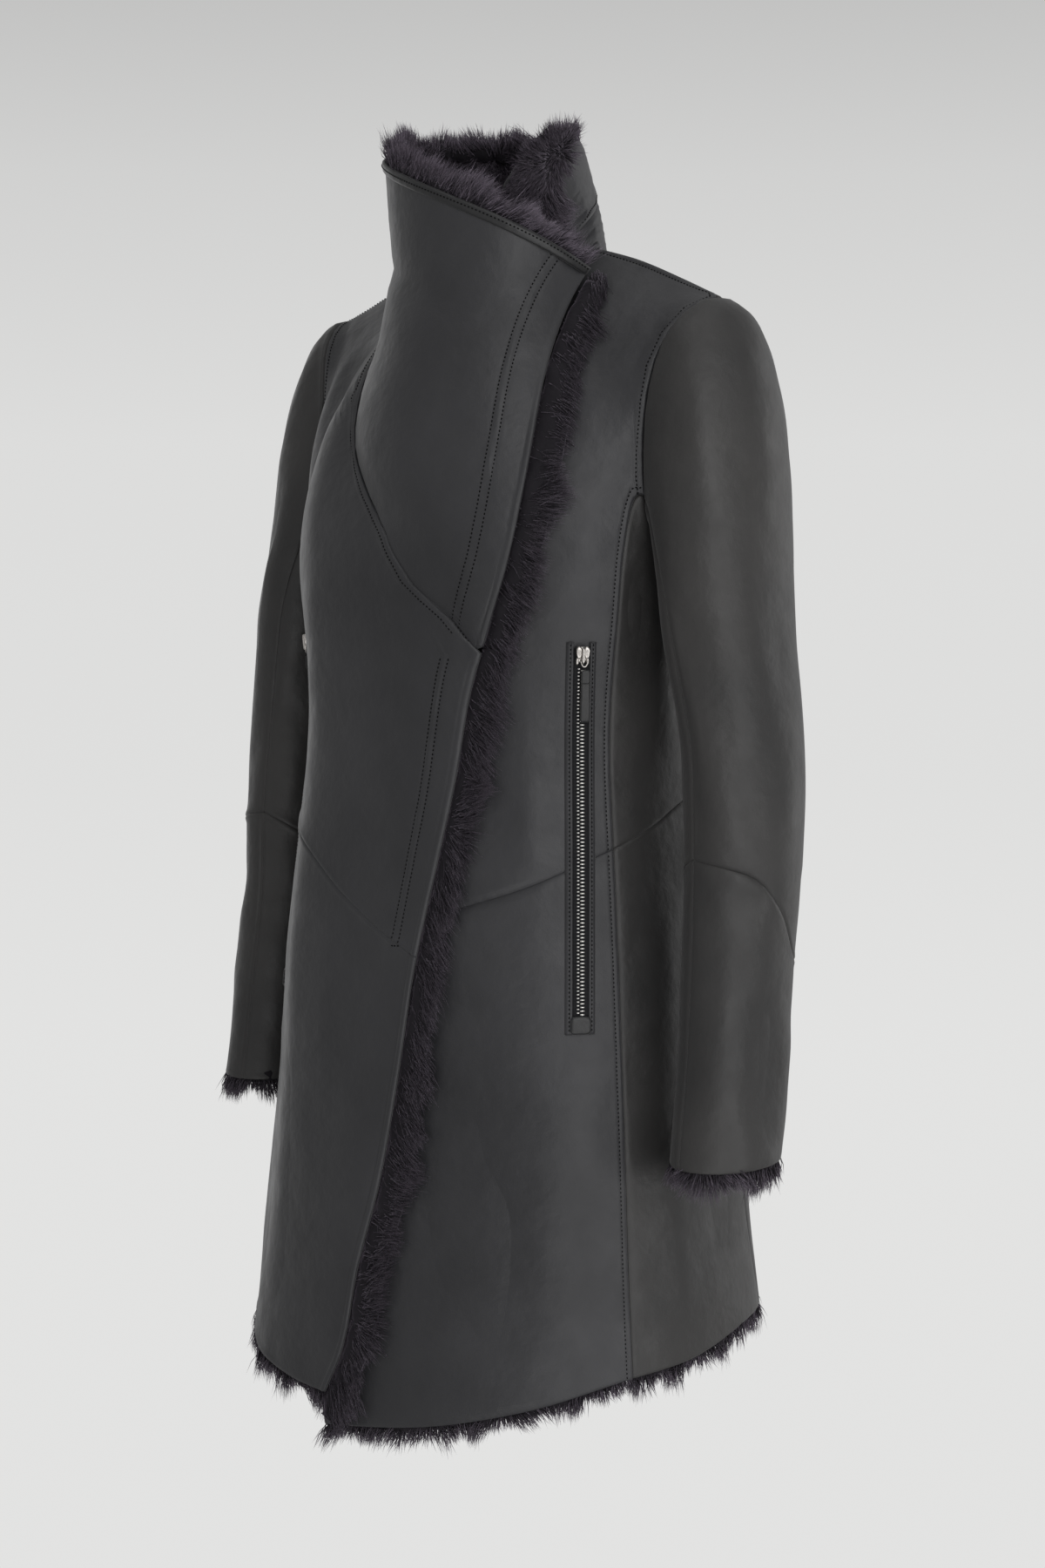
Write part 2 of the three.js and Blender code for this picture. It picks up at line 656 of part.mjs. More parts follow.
// Sleeves. side is 1 for the wearer's left and -1 for the right.
const mirrored = (v, side) => vector(v.x * side, v.y, v.z);
function sleeveFace(column, place) {
  const low = Math.min(Math.floor(column), SLEEVE_COLUMNS.length - 2);
  const near = THREE.MathUtils.clamp(column - low, 0, 1);
  const at = (k) => {
    const [bodice, turn, x, y, z] = SLEEVE_COLUMNS[k];
    return { start: topEdge(bodice).place, turn, leave: vector(x, y, z) };
  };
  const [a, b] = [at(low), at(low + 1)];
  const turn = mix(a.turn, b.turn, near);
  const tube = (z) => {
    const [x, y, halfWidth, depth, square] = along(SLEEVE, z);
    return oval(halfWidth, depth, depth, x, y, square, turn, z);
  };
  const wristward = SLEEVE[0][0];
  if (place > 1) return tube(mix(wristward, CUFF, place - 1));
  const start = a.start.lerp(b.start, near);
  const leave = a.leave.lerp(b.leave, near);
  const end = tube(wristward);
  const arrive = tube(wristward - 20).sub(end).divideScalar(20);
  const reach = start.distanceTo(end);
  const part = (axis) => hermite(start[axis], end[axis], leave[axis] * reach, arrive[axis] * reach, place);
  return vector(part("x"), part("y"), part("z"));
}
function onSleeve(column, place, side) {
  const last = SLEEVE_COLUMNS.length - 1;
  const wrapped = (c, p) => sleeveFace(c < 0 ? c + last : c > last ? c - last : c, p);
  const wall = outward((c, p) => wrapped(c, -p), column, -place, 0.25, 0.02, -0.0001);
  const turn = THREE.MathUtils.clamp(1 - place / 0.4, 0, 1) ** 2;
  wall.lerp(topEdge(SLEEVE_COLUMNS[column][0]).wall, turn).normalize();
  return { point: mirrored(wrapped(column, place), side), wall: mirrored(wall, side) };
}
function sleeve(side) {
  const name = side > 0 ? "left" : "right";
  const elbowHeight = (column) => read(ELBOW, SLEEVE_COLUMNS[column][1]);
  const elbow = (column) => 1 + (SLEEVE[0][0] - elbowHeight(column)) / (SLEEVE[0][0] - CUFF);
  const above = (column) => [...CAP_ROWS, ...[1, 2, 3].map((k) => mix(1, elbow(column), k / 3))];
  const below = (column) => shares(4).map((t) => mix(elbow(column), 2, t));
  const pieces = [
    ["outer", OUTER_COLUMNS],
    ["under", UNDER_COLUMNS],
  ];
  for (const [kind, [first, last]] of pieces) {
    const columns = Array.from({ length: last - first + 1 }, (_, k) => first + k);
    for (const [part, placesOf] of [
      ["upper", above],
      ["lower", below],
    ]) {
      const count = placesOf(first).length;
      const rows = Array.from({ length: count }, (_, k) => count - 1 - k);
      const order = side > 0 ? columns : [...columns].reverse();
      const grid = rows.map((k) => order.map((c) => onSleeve(c, placesOf(c)[k], side)));
      add(`sleeve_${name}_${kind}_${part}`, wallOf(grid), leather());
    }
  }
}

// Wool. A section is a loop of places: how far past the edge, and how far out from it.
const woolAt = (edge, past, out, section) =>
  section.map(([a, o]) => edge.clone().addScaledVector(past, a).addScaledVector(out, o));
const BELOW = [
  [0, -0.5],
  [0, -11],
  [0.33, -12],
  [0.9, -9],
  [1, -3],
  [0.6, 0.5],
]; // how far past a hem as a share of the wool's depth, how far out from the face
// A section drawn in shares, at its real depth, standing clear of the edge that it grows from.
const atDepth = (section, depth, clear) =>
  section.map(([share, out]) => [Math.max(share * depth, clear), out]);
function hemWool(name, place, hem, from, to, columns, lastGap = SEAM / 2) {
  const sections = columns.map((t) => {
    let angle = mix(from(-800), to(-800), t);
    for (let pass = 0; pass < 4; pass++) angle = mix(from(hem(angle)), to(hem(angle)), t);
    const height = hem(angle);
    const { point, wall } = place(angle, height);
    const down = place(angle, height - 10).point.sub(point).normalize();
    const aside = place(angle + 1, hem(angle + 1)).point.sub(point).normalize();
    if (t === 0) point.addScaledVector(aside, SEAM / 2);
    if (t === 1) point.addScaledVector(aside, -lastGap);
    return woolAt(point, down, wall, atDepth(BELOW, HEM_WOOL, EDGE_CLEAR));
  });
  add(name, loft(sections.reverse()), wool());
}
function hems() {
  const end = (height) => 360 - sideBack(height);
  const hem = (angle) => hemLeft(angle > 180 ? 360 - angle : angle);
  const clearOfEdge = 6; // the right front's hem wool stops short of the front edge's own wool
  const [backSeam, frontSeam] = [negative(sideBack), negative(princess)];
  hemWool("wool_hem_front_right", onRight, hemRight, frontSeam, frontEdge, RIGHT_COLUMNS, clearOfEdge);
  hemWool("wool_hem_front_left", onBody, hemLeft, underEdge, princess, LEFT_COLUMNS);
  hemWool("wool_hem_side_left", onBody, hemLeft, princess, sideBack, SIDE_COLUMNS);
  hemWool("wool_hem_side_right", onBody, hemRight, backSeam, frontSeam, SIDE_COLUMNS_RIGHT);
  hemWool("wool_hem_back", onBody, hem, sideBack, end, BACK_COLUMNS);
}
// height, how far the wool reaches past the front edge
const EDGE_REACH = [
  [-826, 22],
  [-700, 24],
  [-560, 20],
  [-480, 16],
  [-400, 16],
  [-300, 21],
  [-200, 25],
  [-100, 25],
  [-42, 16],
];
function frontWool() {
  const stretches = [
    ["wool_edge_lower", -826, -497, 10],
    ["wool_edge_middle", -497, LAPEL_FOOT, 8],
    ["wool_edge_lapel", LAPEL_FOOT, -42, 10],
  ];
  for (const [name, low, high, count] of stretches) {
    const sections = shares(count).map((t) => {
      const height = mix(low, high, t) + (t === 0 ? SEAM / 2 : t === 1 ? -SEAM / 2 : 0);
      const angle = frontEdge(height);
      const { point, wall } = onBody(angle, height);
      const past = onBody(angle + 1, height).point.sub(point).normalize();
      const reach = read(EDGE_REACH, height);
      return woolAt(point, past, wall, [
        [1, 0.6],
        [1, EDGE_WOOL],
        [reach * 0.4, EDGE_WOOL],
        [reach * 0.85, 9],
        [reach, 4],
        [reach * 0.8, 0.8],
      ]);
    });
    add(name, loft(sections), wool());
  }
}
function cuffWool(side) {
  const sections = SLEEVE_COLUMNS.slice(0, -1).map((_, column) => {
    const { point, wall } = onSleeve(column, 2, side);
    const section = [
      [0.5, -0.5],
      [8, 0.5],
      [CUFF_WOOL, -3],
      [12, -8],
      [4, -11],
      [0.5, -10],
    ];
    return woolAt(point, vector(0, 0, -1), wall, section);
  });
  const name = side > 0 ? "wool_cuff_left" : "wool_cuff_right";
  add(name, loft(side > 0 ? sections : sections.reverse(), true), wool());
}
const ABOVE = [
  [0, -12],
  [0, 0],
  [0.4, 2],
  [0.8, 1],
  [1, -5],
  [0.67, -13],
]; // the same for wool that stands above the collar
const ROLL = [
  [0.08, 44, 77],
  [0.2, 45, 77],
  [0.36, 47, 75],
  [0.52, 50, 76],
  [0.68, 54, 81],
  [0.84, 63, 90],
  [0.96, 77, 97],
  [1.03, 87, 101],
]; // share of the collar's height, angles where the roll of wool starts and ends
const ROLL_WOOL = 13; // depth of the wool rolled over the left collar's front
const ROLL_ROUND = 0.85; // how far that depth falls off towards the roll's sides
function collarWool() {
  const rim = shares(14).map((t) => {
    const angle = mix(108, COLLAR_END - 1, t);
    const { point, wall } = onCollar(angle, 1);
    const up = collarFace(angle, 1).sub(collarFace(angle, 0.9)).normalize();
    return woolAt(point, up, wall, atDepth(ABOVE, RIM_WOOL, 2 * EDGE_CLEAR));
  });
  add("wool_collar_rim", loft(rim.reverse()), wool());
  const lapelRim = shares(10).map((t) => {
    const u = mix(0.02, 0.8, t);
    const { point, wall } = onLapel(u, LAPEL_TOP);
    const up = lapelFace(u, LAPEL_TOP).sub(lapelFace(u, LAPEL_TOP - 1)).normalize();
    const section = atDepth(ABOVE, mix(LAPEL_WOOL_HIGH, LAPEL_WOOL_LOW, t), EDGE_CLEAR);
    return woolAt(point.addScaledVector(wall, -1), up, wall, section);
  });
  add("wool_lapel_rim", loft(lapelRim.reverse()), wool());
  const roll = ROLL.map(([share, start, end]) =>
    shares(6).map((t) => {
      const angle = mix(start, end, t);
      const { wall } = onCollar(angle, Math.min(share, 1));
      const depth = ROLL_WOOL * Math.sqrt(1 - ROLL_ROUND * (2 * t - 1) ** 2);
      return { foot: collarFace(angle, share).addScaledVector(wall, 0.6), wall, depth };
    }),
  );
  const outer = roll.map((row) => row.map((p) => p.foot.clone().addScaledVector(p.wall, p.depth)));
  add("wool_collar_roll", solidOf(outer, roll.map((row) => row.map((p) => p.foot))), wool());
}

// Pocket zip: tape, slider, pull and end patch, each a small slab lying on the panel.
function slab(angle, top, length, width, bottom, height, columns = 2, rows = 2) {
  const layer = bottom + height;
  const grid = shares(rows).map((down) =>
    shares(columns).map((t) => {
      const z = top - length + length * down;
      const wide = 0.5;
      const here = onBody(angle, z);
      const aside = onBody(angle + wide, z).point.sub(here.point).normalize();
      const point = here.point.addScaledVector(aside, (t - 0.5) * width).addScaledVector(here.wall, layer);
      return { point, wall: here.wall };
    }),
  );
  return wallOf(grid, height);
}
function pocket(side) {
  const name = side > 0 ? "left" : "right";
  const angle = ZIP_ANGLE * side;
  const length = ZIP_TOP - ZIP_BOTTOM;
  const rest = 0.8;
  const onTape = rest + TAPE_THICK + SEAM;
  add(`zip_${name}_tape`, slab(angle, ZIP_TOP, length, TAPE_WIDTH, rest, TAPE_THICK, 2, 10), tape());
  add(
    `zip_${name}_slider`,
    slab(angle, ZIP_TOP - 1, SLIDER.length, SLIDER.width, onTape, SLIDER.height),
    metal(),
  );
  add(
    `zip_${name}_pull`,
    slab(angle, ZIP_TOP - 1.4 - SLIDER.length, PULL.length, PULL.width, onTape, PULL.height),
    leather(),
  );
  const patch = slab(angle, ZIP_BOTTOM - SEAM, PATCH.length, PATCH.width, rest, PATCH.height);
  add(`zip_${name}_patch`, patch, leather());
}

fronts();
sides();
back();
collar();
lapel();
for (const side of [1, -1]) {
  sleeve(side);
  cuffWool(side);
  pocket(side);
}
hems();
frontWool();
collarWool();

export default group;
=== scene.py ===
# %% [markdown]
# A shearling coat, worn closed. Shearling is one skin with leather on one face and wool on the other, so
# the coat has no separate lining: the wool inside shows wherever a piece ends, at the neck, front edge,
# hem and cuffs. The frame holds each cut piece as a plain solid. Here every piece of leather becomes a
# thin skin with seams, stitches and creases, and every band of wool becomes a soft base full of hairs.

import bpy
import numpy as np
from mathutils import Matrix


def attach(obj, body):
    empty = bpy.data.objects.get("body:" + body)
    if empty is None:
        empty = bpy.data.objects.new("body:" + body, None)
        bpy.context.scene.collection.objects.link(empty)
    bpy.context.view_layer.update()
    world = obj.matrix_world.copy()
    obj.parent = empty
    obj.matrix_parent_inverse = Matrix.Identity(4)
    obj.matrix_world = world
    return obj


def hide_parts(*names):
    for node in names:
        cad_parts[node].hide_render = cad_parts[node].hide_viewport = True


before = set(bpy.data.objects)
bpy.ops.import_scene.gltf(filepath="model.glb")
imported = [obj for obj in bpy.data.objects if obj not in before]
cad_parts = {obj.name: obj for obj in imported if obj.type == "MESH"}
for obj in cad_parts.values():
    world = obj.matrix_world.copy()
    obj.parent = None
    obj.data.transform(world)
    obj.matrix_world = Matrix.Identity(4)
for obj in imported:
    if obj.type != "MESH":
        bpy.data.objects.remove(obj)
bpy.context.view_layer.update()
MM = 0.001
WALL = 6
LAP = 14
BODICE = -225
print("frame:", len(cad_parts), "nodes")

# %% [markdown]
# The camera comes first. It stands two metres away, 42 degrees round to the wearer's left and a little
# above the middle of the coat, looking slightly down, with a lens that is long enough to keep the sides
# upright.

# %% Camera
AZIMUTH = 42.0
PITCH = 5.9
DISTANCE = 2.008
CAMERA_HEIGHT = -0.1815
CAMERA_ASIDE = -0.0065
FRAME_HEIGHT = 1800
FOCAL_PIXELS = 3104
SENSOR = 36.0


def aim_camera():
    """Camera at the photograph's place. Its axes are right, up and backward."""
    turn, tilt = np.radians(AZIMUTH), np.radians(PITCH)
    right = np.array([np.cos(turn), np.sin(turn), 0])
    level = np.array([-np.sin(turn), np.cos(turn), 0])
    forward = level * np.cos(tilt) - np.array([0, 0, np.sin(tilt)])
    up = level * np.sin(tilt) + np.array([0, 0, np.cos(tilt)])
    place = -level * DISTANCE + right * CAMERA_ASIDE + np.array([0, 0, CAMERA_HEIGHT])
    data = bpy.data.cameras.new("camera")
    data.sensor_width = SENSOR
    data.lens = SENSOR * FOCAL_PIXELS / FRAME_HEIGHT
    camera = bpy.data.objects.new("camera", data)
    matrix = np.eye(4)
    matrix[:3, 0], matrix[:3, 1], matrix[:3, 2], matrix[:3, 3] = right, up, -forward, place
    camera.matrix_world = Matrix(matrix.tolist())
    bpy.context.scene.collection.objects.link(camera)
    bpy.context.scene.camera = camera
    return camera


camera = aim_camera()
print("camera lens", round(camera.data.lens, 1), "mm")

# %% [markdown]
# The coat's surface is worked out, not sculpted. A place on it is an angle round the body and a height.
# The angle is 0 at the centre front and 90 at the wearer's left side. Short tables give the shape at a
# few heights, and a cubic curve through their rows gives it everywhere else.

# %% Reading a table
def mix(a, b, t):
    """The value a share t of the way from a to b."""
    return a + (b - a) * t


def smooth(t):
    """A ramp from 0 to 1 that starts and ends level: 3t^2 - 2t^3."""
    t = np.clip(t, 0, 1)
    return t * t * (3 - 2 * t)


def hermite(a, b, slope_a, slope_b, t):
    """The cubic that leaves a with one slope and reaches b with another, as t runs from 0 to 1."""
    return (
        (2 * t**3 - 3 * t**2 + 1) * a
        + (t**3 - 2 * t**2 + t) * slope_a
        + (3 * t**2 - 2 * t**3) * b
        + (t**3 - t**2) * slope_b
    )


def along(rows, place):
    """A table's other columns at places in its first: cubics whose slope at a row blends its neighbours'."""
    rows = np.asarray(rows, float)
    rows = rows[::-1] if rows[0, 0] > rows[-1, 0] else rows
    x, y = rows[:, 0], rows[:, 1:]
    gap = np.diff(x)[:, None]
    rise = np.diff(y, axis=0) / gap
    inner = (rise[:-1] * gap[1:] + rise[1:] * gap[:-1]) / (gap[:-1] + gap[1:])
    slope = np.vstack([rise[:1], inner, rise[-1:]])
    place = np.asarray(place, float)
    i = np.clip(np.searchsorted(x, place, side="right") - 1, 0, len(x) - 2)
    t = ((place - x[i]) / gap[i, 0])[..., None]
    held = np.clip(t, 0, 1)
    leave, reach = slope[i] * gap[i], slope[i + 1] * gap[i]
    return hermite(y[i], y[i + 1], leave, reach, held) + (t - held) * np.where(t > 1, reach, leave)


def read(rows, place):
    """The second column of a table at places in its first."""
    return along(rows, place)[..., 0]


def unit(v):
    """Vectors at length one."""
    return v / np.maximum(np.linalg.norm(v, axis=-1, keepdims=True), 1e-12)


print("halfway up a ramp:", smooth(0.5))

# %% [markdown]
# The body is a stack of ovals up to the underarm. An oval here is a superellipse, a little squarer than
# an ellipse, with its own depth in front and behind. Above the underarm each angle has its own curve up
# to the neckline, the shoulder seam or the armhole.

# %% The body's tables, in millimetres and degrees
# height, half width, depth in front, depth behind, Y of the middle, squareness
RINGS = [
    (-860, 204, 170, 168, -28, 2.3),
    (-780, 196, 164, 160, -27, 2.3),
    (-700, 186, 156, 150, -26, 2.3),
    (-600, 177, 149, 142, -24, 2.35),
    (-500, 168, 144, 137, -21, 2.4),
    (-420, 160, 140, 133, -18, 2.4),
    (-330, 152, 134, 128, -15, 2.4),
    (-225, 160, 136, 128, -15, 2.4),
    (-150, 160, 132, 124, -15, 2.4),
]
# angle, the edge's X, Y and Z, the way the face arrives there; one table between each two corners
NECKLINE = [(0, 0, -92, -95, 0, 0.3, 0.95), (16, 36, -76, -66, 0, 0.45, 0.85), (32, 72, -8, 0, 0, 0.8, 0.55)]
FRONT_SHOULDER = [
    (32, 72, -8, 0, 0, 0.8, 0.55),
    (42, 108, -5, -10, 0.4, 0.8, 0.4),
    (52, 149, -5, -26, 0.5, 0.8, 0.3),
    (60, 181, -5, -40, 0.7, 0.7, -0.2),
]
ARMHOLE = [
    (60, 181, -5, -40, 0.7, 0.7, -0.2),
    (62, 176, -26, -44, 0.7, 0.6, 0.35),
    (64, 169, -44, -59, 0.6, 0.45, 0.65),
    (68, 159, -59, -104, 0.3, 0.2, 0.95),
    (73, 158, -60, -176, 0.2, 0.2, 0.95),
    (80, 160, -40, -202, 0, 0, 1),
    (90, 164, -6, -212, 0, 0, 1),
    (100, 162, 28, -200, 0, 0, 1),
    (107, 160, 46, -172, 0.2, -0.2, 0.95),
    (112, 161, 48, -104, 0.3, -0.2, 0.95),
    (116, 170, 33, -60, 0.6, -0.4, 0.7),
    (118, 176, 15, -45, 0.7, -0.6, 0.4),
    (120, 181, -5, -40, 0.7, -0.7, -0.1),
]
BACK_SHOULDER = [
    (120, 181, -5, -40, 0.7, -0.7, -0.1),
    (128, 149, -5, -26, 0.7, -0.7, 0.15),
    (138, 108, -5, -10, 0.5, -0.75, 0.45),
    (148, 72, -8, 0, 0, -0.75, 0.6),
]
BACK_NECK = [
    (148, 72, -8, 0, 0, -0.75, 0.6),
    (158, 56, 20, -5, 0, -0.6, 0.8),
    (169, 30, 38, -10, 0, -0.45, 0.9),
    (180, 0, 44, -12, 0, -0.4, 0.92),
]
TOP_EDGE = [NECKLINE, FRONT_SHOULDER, ARMHOLE, BACK_SHOULDER, BACK_NECK]


# %% [markdown]
# With the tables read, the face itself is one function of angle and height. It could be a lofted curve
# set instead, but a function also gives the outward direction anywhere, which every later piece needs.

# %% The body's face
def oval(half_width, front, back, middle_x, middle_y, square, angle, z):
    """A superellipse in plan: the radius r has (|sin|/width)^n + (|cos|/depth)^n = r^-n."""
    s, c = np.sin(np.radians(angle)), np.cos(np.radians(angle))
    depth = np.where(c > 0, front, back)
    r = ((np.abs(s) / half_width) ** square + (np.abs(c) / depth) ** square) ** (-1 / square)
    return np.stack([middle_x + r * s, middle_y - r * c, z + 0 * r], -1)


def ring(angle, z):
    """A point of the body's oval at a height."""
    half_width, front, back, middle, square = np.moveaxis(along(RINGS, z), -1, 0)
    return oval(half_width, front, back, 0, middle, square, angle, z)


def top_edge(angle):
    """Place of the bodice's top edge at an angle, and the way the face arrives there."""
    angle = np.asarray(angle, float)
    side, size = np.where(angle < 0, -1.0, 1.0), np.minimum(np.abs(angle), 180)
    found = np.zeros(angle.shape + (6,))
    for rows in TOP_EDGE:
        here = (size >= rows[0][0]) & (size <= rows[-1][0])
        found[here] = along(rows, size[here])
    found[..., [0, 3]] *= side[..., None]
    return found[..., :3], unit(found[..., 3:])


def face(angle, height):
    """The body's outer face: ovals below the underarm, then a cubic from the oval to the top edge."""
    angle, height = np.broadcast_arrays(np.asarray(angle, float), np.asarray(height, float))
    angle = np.where(angle > 180, angle - 360, angle)
    low = ring(angle, np.minimum(height, BODICE))
    start = ring(angle, np.full(angle.shape, float(BODICE)))
    leave = (start - ring(angle, np.full(angle.shape, BODICE - 10.0))) / 10
    end, arrive = top_edge(angle)
    reach = np.linalg.norm(end - start, axis=-1, keepdims=True)
    t = np.clip(1 - height / BODICE, 0, 1)[..., None]
    high = hermite(start, end, leave * reach, arrive * reach * 0.9, t)
    return np.where((height > BODICE)[..., None], high, low)


def outward(surface, u, v, du, dv, v_top=np.inf):
    """Outward direction of a surface of two numbers: its slope across crossed with its slope up."""
    high = np.minimum(v + dv, v_top)
    across = surface(u + du, v) - surface(u - du, v)
    up = surface(u, high) - surface(u, high - 2 * dv)
    return unit(np.cross(across, up))


def on_body(angle, height, layer=0.0):
    """A place on the face, or a layer's thickness off it."""
    layer = np.asarray(layer, float)[..., None]
    return face(angle, height) + outward(face, angle, height, 0.4, 1.5, 0) * layer


def on_right(angle, height):
    """The right front's face, which lies outside the left front where it laps over it."""
    lap = LAP * smooth((angle + 52) / 26) * smooth((-height - 30) / 120)
    return on_body(angle, height, lap)


print("centre front at the waist:", on_body(np.array(0.0), np.array(-400.0)).round(1))

# %% [markdown]
# A seam is where two cut edges meet, so it is a curve on that surface. Most of them run up and down, and
# their tables give an angle at each height. The waist seams and hems run round, and theirs give a height
# at each angle.

# %% Seams and edges
FRONT_EDGE = [
    (-830, -6), (-808, -3.8), (-782, 0.2), (-713, 4.5), (-655, 9.8), (-580, 14.3), (-500, 18.2),
    (-439, 22.7), (-380, 27), (-306, 31.4), (-263, 36.2), (-198, 42.6), (-157, 44), (-115, 43.3),
    (-83, 42.2), (-35, 39.8),
]
COLLAR_SEAM = [
    (-279, 32.5), (-257, 25.6), (-236, 14.7), (-216, 8.4), (-185, 1.7), (-160, -6.6), (-138, -14.8),
    (-125, -22.5), (-110, -28), (-80, -31), (0, -32),
]
UNDER_EDGE = [(-840, -8), (-700, -14), (-500, -24), (-400, -27), (-300, -27), (-225, -22), (-120, -10), (0, 0)]
PRINCESS = [(-800, 68.6), (-610, 68.7), (-460, 67.5), (-343, 66.5), (-253, 67.8), (-110, 70.5), (0, 73)]
SIDE_BACK = [(-800, 119), (-750, 116), (-700, 112.5), (-620, 109), (-225, 108), (0, 107)]
WAIST_LEFT = [
    (-30, -488), (26, -460), (44, -444), (61, -424), (79, -404), (90, -390), (110, -383), (145, -386),
    (180, -388),
]
WAIST_RIGHT = [
    (-180, -388), (-145, -386), (-110, -383), (-90, -386), (-68, -393), (-50, -404), (-29, -424),
    (-8, -458), (17, -492), (30, -508),
]
HEM_LEFT = [
    (-12, -838), (2, -831), (26, -817), (45.6, -801), (67, -782), (85, -776), (104, -766), (120, -767),
    (150, -776), (180, -780),
]
HEM_RIGHT = [
    (-180, -780), (-150, -776), (-120, -767), (-104, -767), (-85, -776), (-67, -784), (-50, -789),
    (-31, -799), (-16, -806), (-4, -808), (8, -808),
]
LAPEL_FOOT = -279
ZIP_ANGLE = 58.2
ZIP_TOP = -279.0
ZIP_BOTTOM = -531.0


def curve_of(rows):
    """A table as a function of its first column."""
    return lambda place: read(rows, place)


def mirrored(curve):
    """The same seam on the wearer's right."""
    return lambda height: -curve(height)


def behind(table):
    """A height table of the left half, read all the way round the back."""
    return lambda angle: read(table, np.where(angle > 180, 360 - angle, angle))


front_edge, under_edge = curve_of(FRONT_EDGE), curve_of(UNDER_EDGE)
princess, side_back = curve_of(PRINCESS), curve_of(SIDE_BACK)
waist_left, waist_right = curve_of(WAIST_LEFT), curve_of(WAIST_RIGHT)
hem_left, hem_right = curve_of(HEM_LEFT), curve_of(HEM_RIGHT)


def right_front_end(height):
    """The right front ends at its own edge below the lapel, and at the collar seam beside it."""
    return np.where(height < LAPEL_FOOT, front_edge(height), read(COLLAR_SEAM, height))


def at_top(angle):
    """The top edge's height."""
    return np.zeros_like(angle)


print("front edge meets the hem at", front_edge(-808.0).round(1), "degrees")

# %% [markdown]
# The collar stands on the neckline and widens upward. The lapel is one big piece: sewn to the right front
# along a curved seam, it crosses the neck and folds back to a free edge. Each of its rows is a Bezier
# curve from the seam to that edge.

# %% Collar and lapel
COLLAR_TOP = [(20, 58, 62), (60, 66, 64), (90, 71, 68), (130, 76, 72), (180, 79, 73), (230, 79, 73), (270, 74, 72)]
COLLAR_MIDDLE_Y = -55
COLLAR_END = 270
COLLAR_SEAM_LEFT = [(0, 45), (0.12, 66), (0.55, 130), (1, 168)]
COLLAR_FRONT = [(0, 22.8), (0.33, 40), (0.66, 50), (0.83, 59), (1, 83)]
# height on the collar seam or share of the collar, height on the front edge, heading leaving the seam,
# heading reaching the edge, handle length as a share of the chord, rise of the middle
LAPEL = [
    (-279, -277, 33, 34, 0.33, 0), (-262, -271, 28, 36, 0.33, 0), (-250, -263, 22, 38, 0.33, 0),
    (-238, -254, 15, 40, 0.34, 0), (-225, -244, 9, 41, 0.34, 0), (-205, -230, 1, 42, 0.34, 0),
    (-190, -214, -7, 43, 0.35, 0), (-165, -198, -20, 43, 0.35, 1), (-150, -182, -30, 44, 0.36, 2),
    (-130, -167, -42, 45, 0.38, 3), (-110, -151, -52, 47, 0.4, 5), (-75, -132, -68, 51, 0.44, 7),
    (-38, -112, -86, 57, 0.49, 9), (0, -92, -103, 65, 0.52, 10), (0.33, -72, -99, 74, 0.53, 10),
    (0.66, -54, -91, 83, 0.53, 9.5), (1, -36, -82, 92, 0.53, 9),
]
SIDE_NECK_ROW = 13
LAPEL_TOP = len(LAPEL) - 1


def neck_angle(angle):
    """The angle on the bodice whose top edge carries the collar at an angle round the neck."""
    a = np.where(angle > 180, 360 - angle, angle)
    front = np.interp(a, [20, 45, 90], [7, 16, 32])
    back = np.interp(a, [90, 120, 150, 180], [148, 158, 169, 180])
    return np.where(a <= 90, front, back) * np.where(angle > 180, -1, 1)


def collar_face(angle, share):
    """Straight from the neckline to the collar's top ring, with a slight swell halfway up."""
    angle, share = np.broadcast_arrays(np.asarray(angle, float), np.asarray(share, float))
    foot = top_edge(neck_angle(angle))[0]
    z, radius = np.moveaxis(along(COLLAR_TOP, angle), -1, 0)
    s, c = np.sin(np.radians(angle)), np.cos(np.radians(angle))
    top = np.stack([radius * s, COLLAR_MIDDLE_Y - radius * c, z], -1)
    swell = 10 * share * (1 - share)
    return mix(foot, top, share[..., None]) + np.stack([s * swell, -c * swell, 0 * s], -1)


def collar_out(angle, share):
    """Outward direction of the collar."""
    return outward(collar_face, angle, share, 1, 0.05)


def lapel_face(t, row):
    """The lapel a share t from seam to edge, on a row that may lie between two of the table's."""
    t, row = np.broadcast_arrays(np.asarray(t, float), np.clip(row, 0, LAPEL_TOP).astype(float))
    rows = np.column_stack([np.arange(len(LAPEL)), np.array(LAPEL)])
    edge, leave, reach, handle, rise = np.moveaxis(along(rows[:, [0, 2, 3, 4, 5, 6]], row), -1, 0)
    height = read(rows[: SIDE_NECK_ROW + 1, :2], np.minimum(row, SIDE_NECK_ROW))
    share = np.interp(row, rows[SIDE_NECK_ROW:, 0], [0, 0.33, 0.66, 1])
    on_front = on_right(read(COLLAR_SEAM, height), height)
    start = np.where((row <= SIDE_NECK_ROW)[..., None], on_front, collar_face(COLLAR_END, share))
    end = on_body(front_edge(edge), edge, np.full(edge.shape, float(LAP)))
    arm = (np.linalg.norm(end - start, axis=-1) * handle)[..., None]

    def heading(angle):
        """A level direction."""
        return np.stack([np.cos(np.radians(angle)), np.sin(np.radians(angle)), 0 * angle], -1)

    first, second = start + heading(leave) * arm, end - heading(reach) * arm
    first[..., 2] = mix(start[..., 2], end[..., 2], 1 / 3)
    second[..., 2] = mix(start[..., 2], end[..., 2], 2 / 3)
    u = t[..., None]
    point = (1 - u) ** 3 * start + 3 * u * (1 - u) ** 2 * first + 3 * u**2 * (1 - u) * second + u**3 * end
    point[..., 2] += 4 * rise * t * (1 - t)
    return point


print("lapel's top corner:", lapel_face(1.0, float(LAPEL_TOP)).round(1))

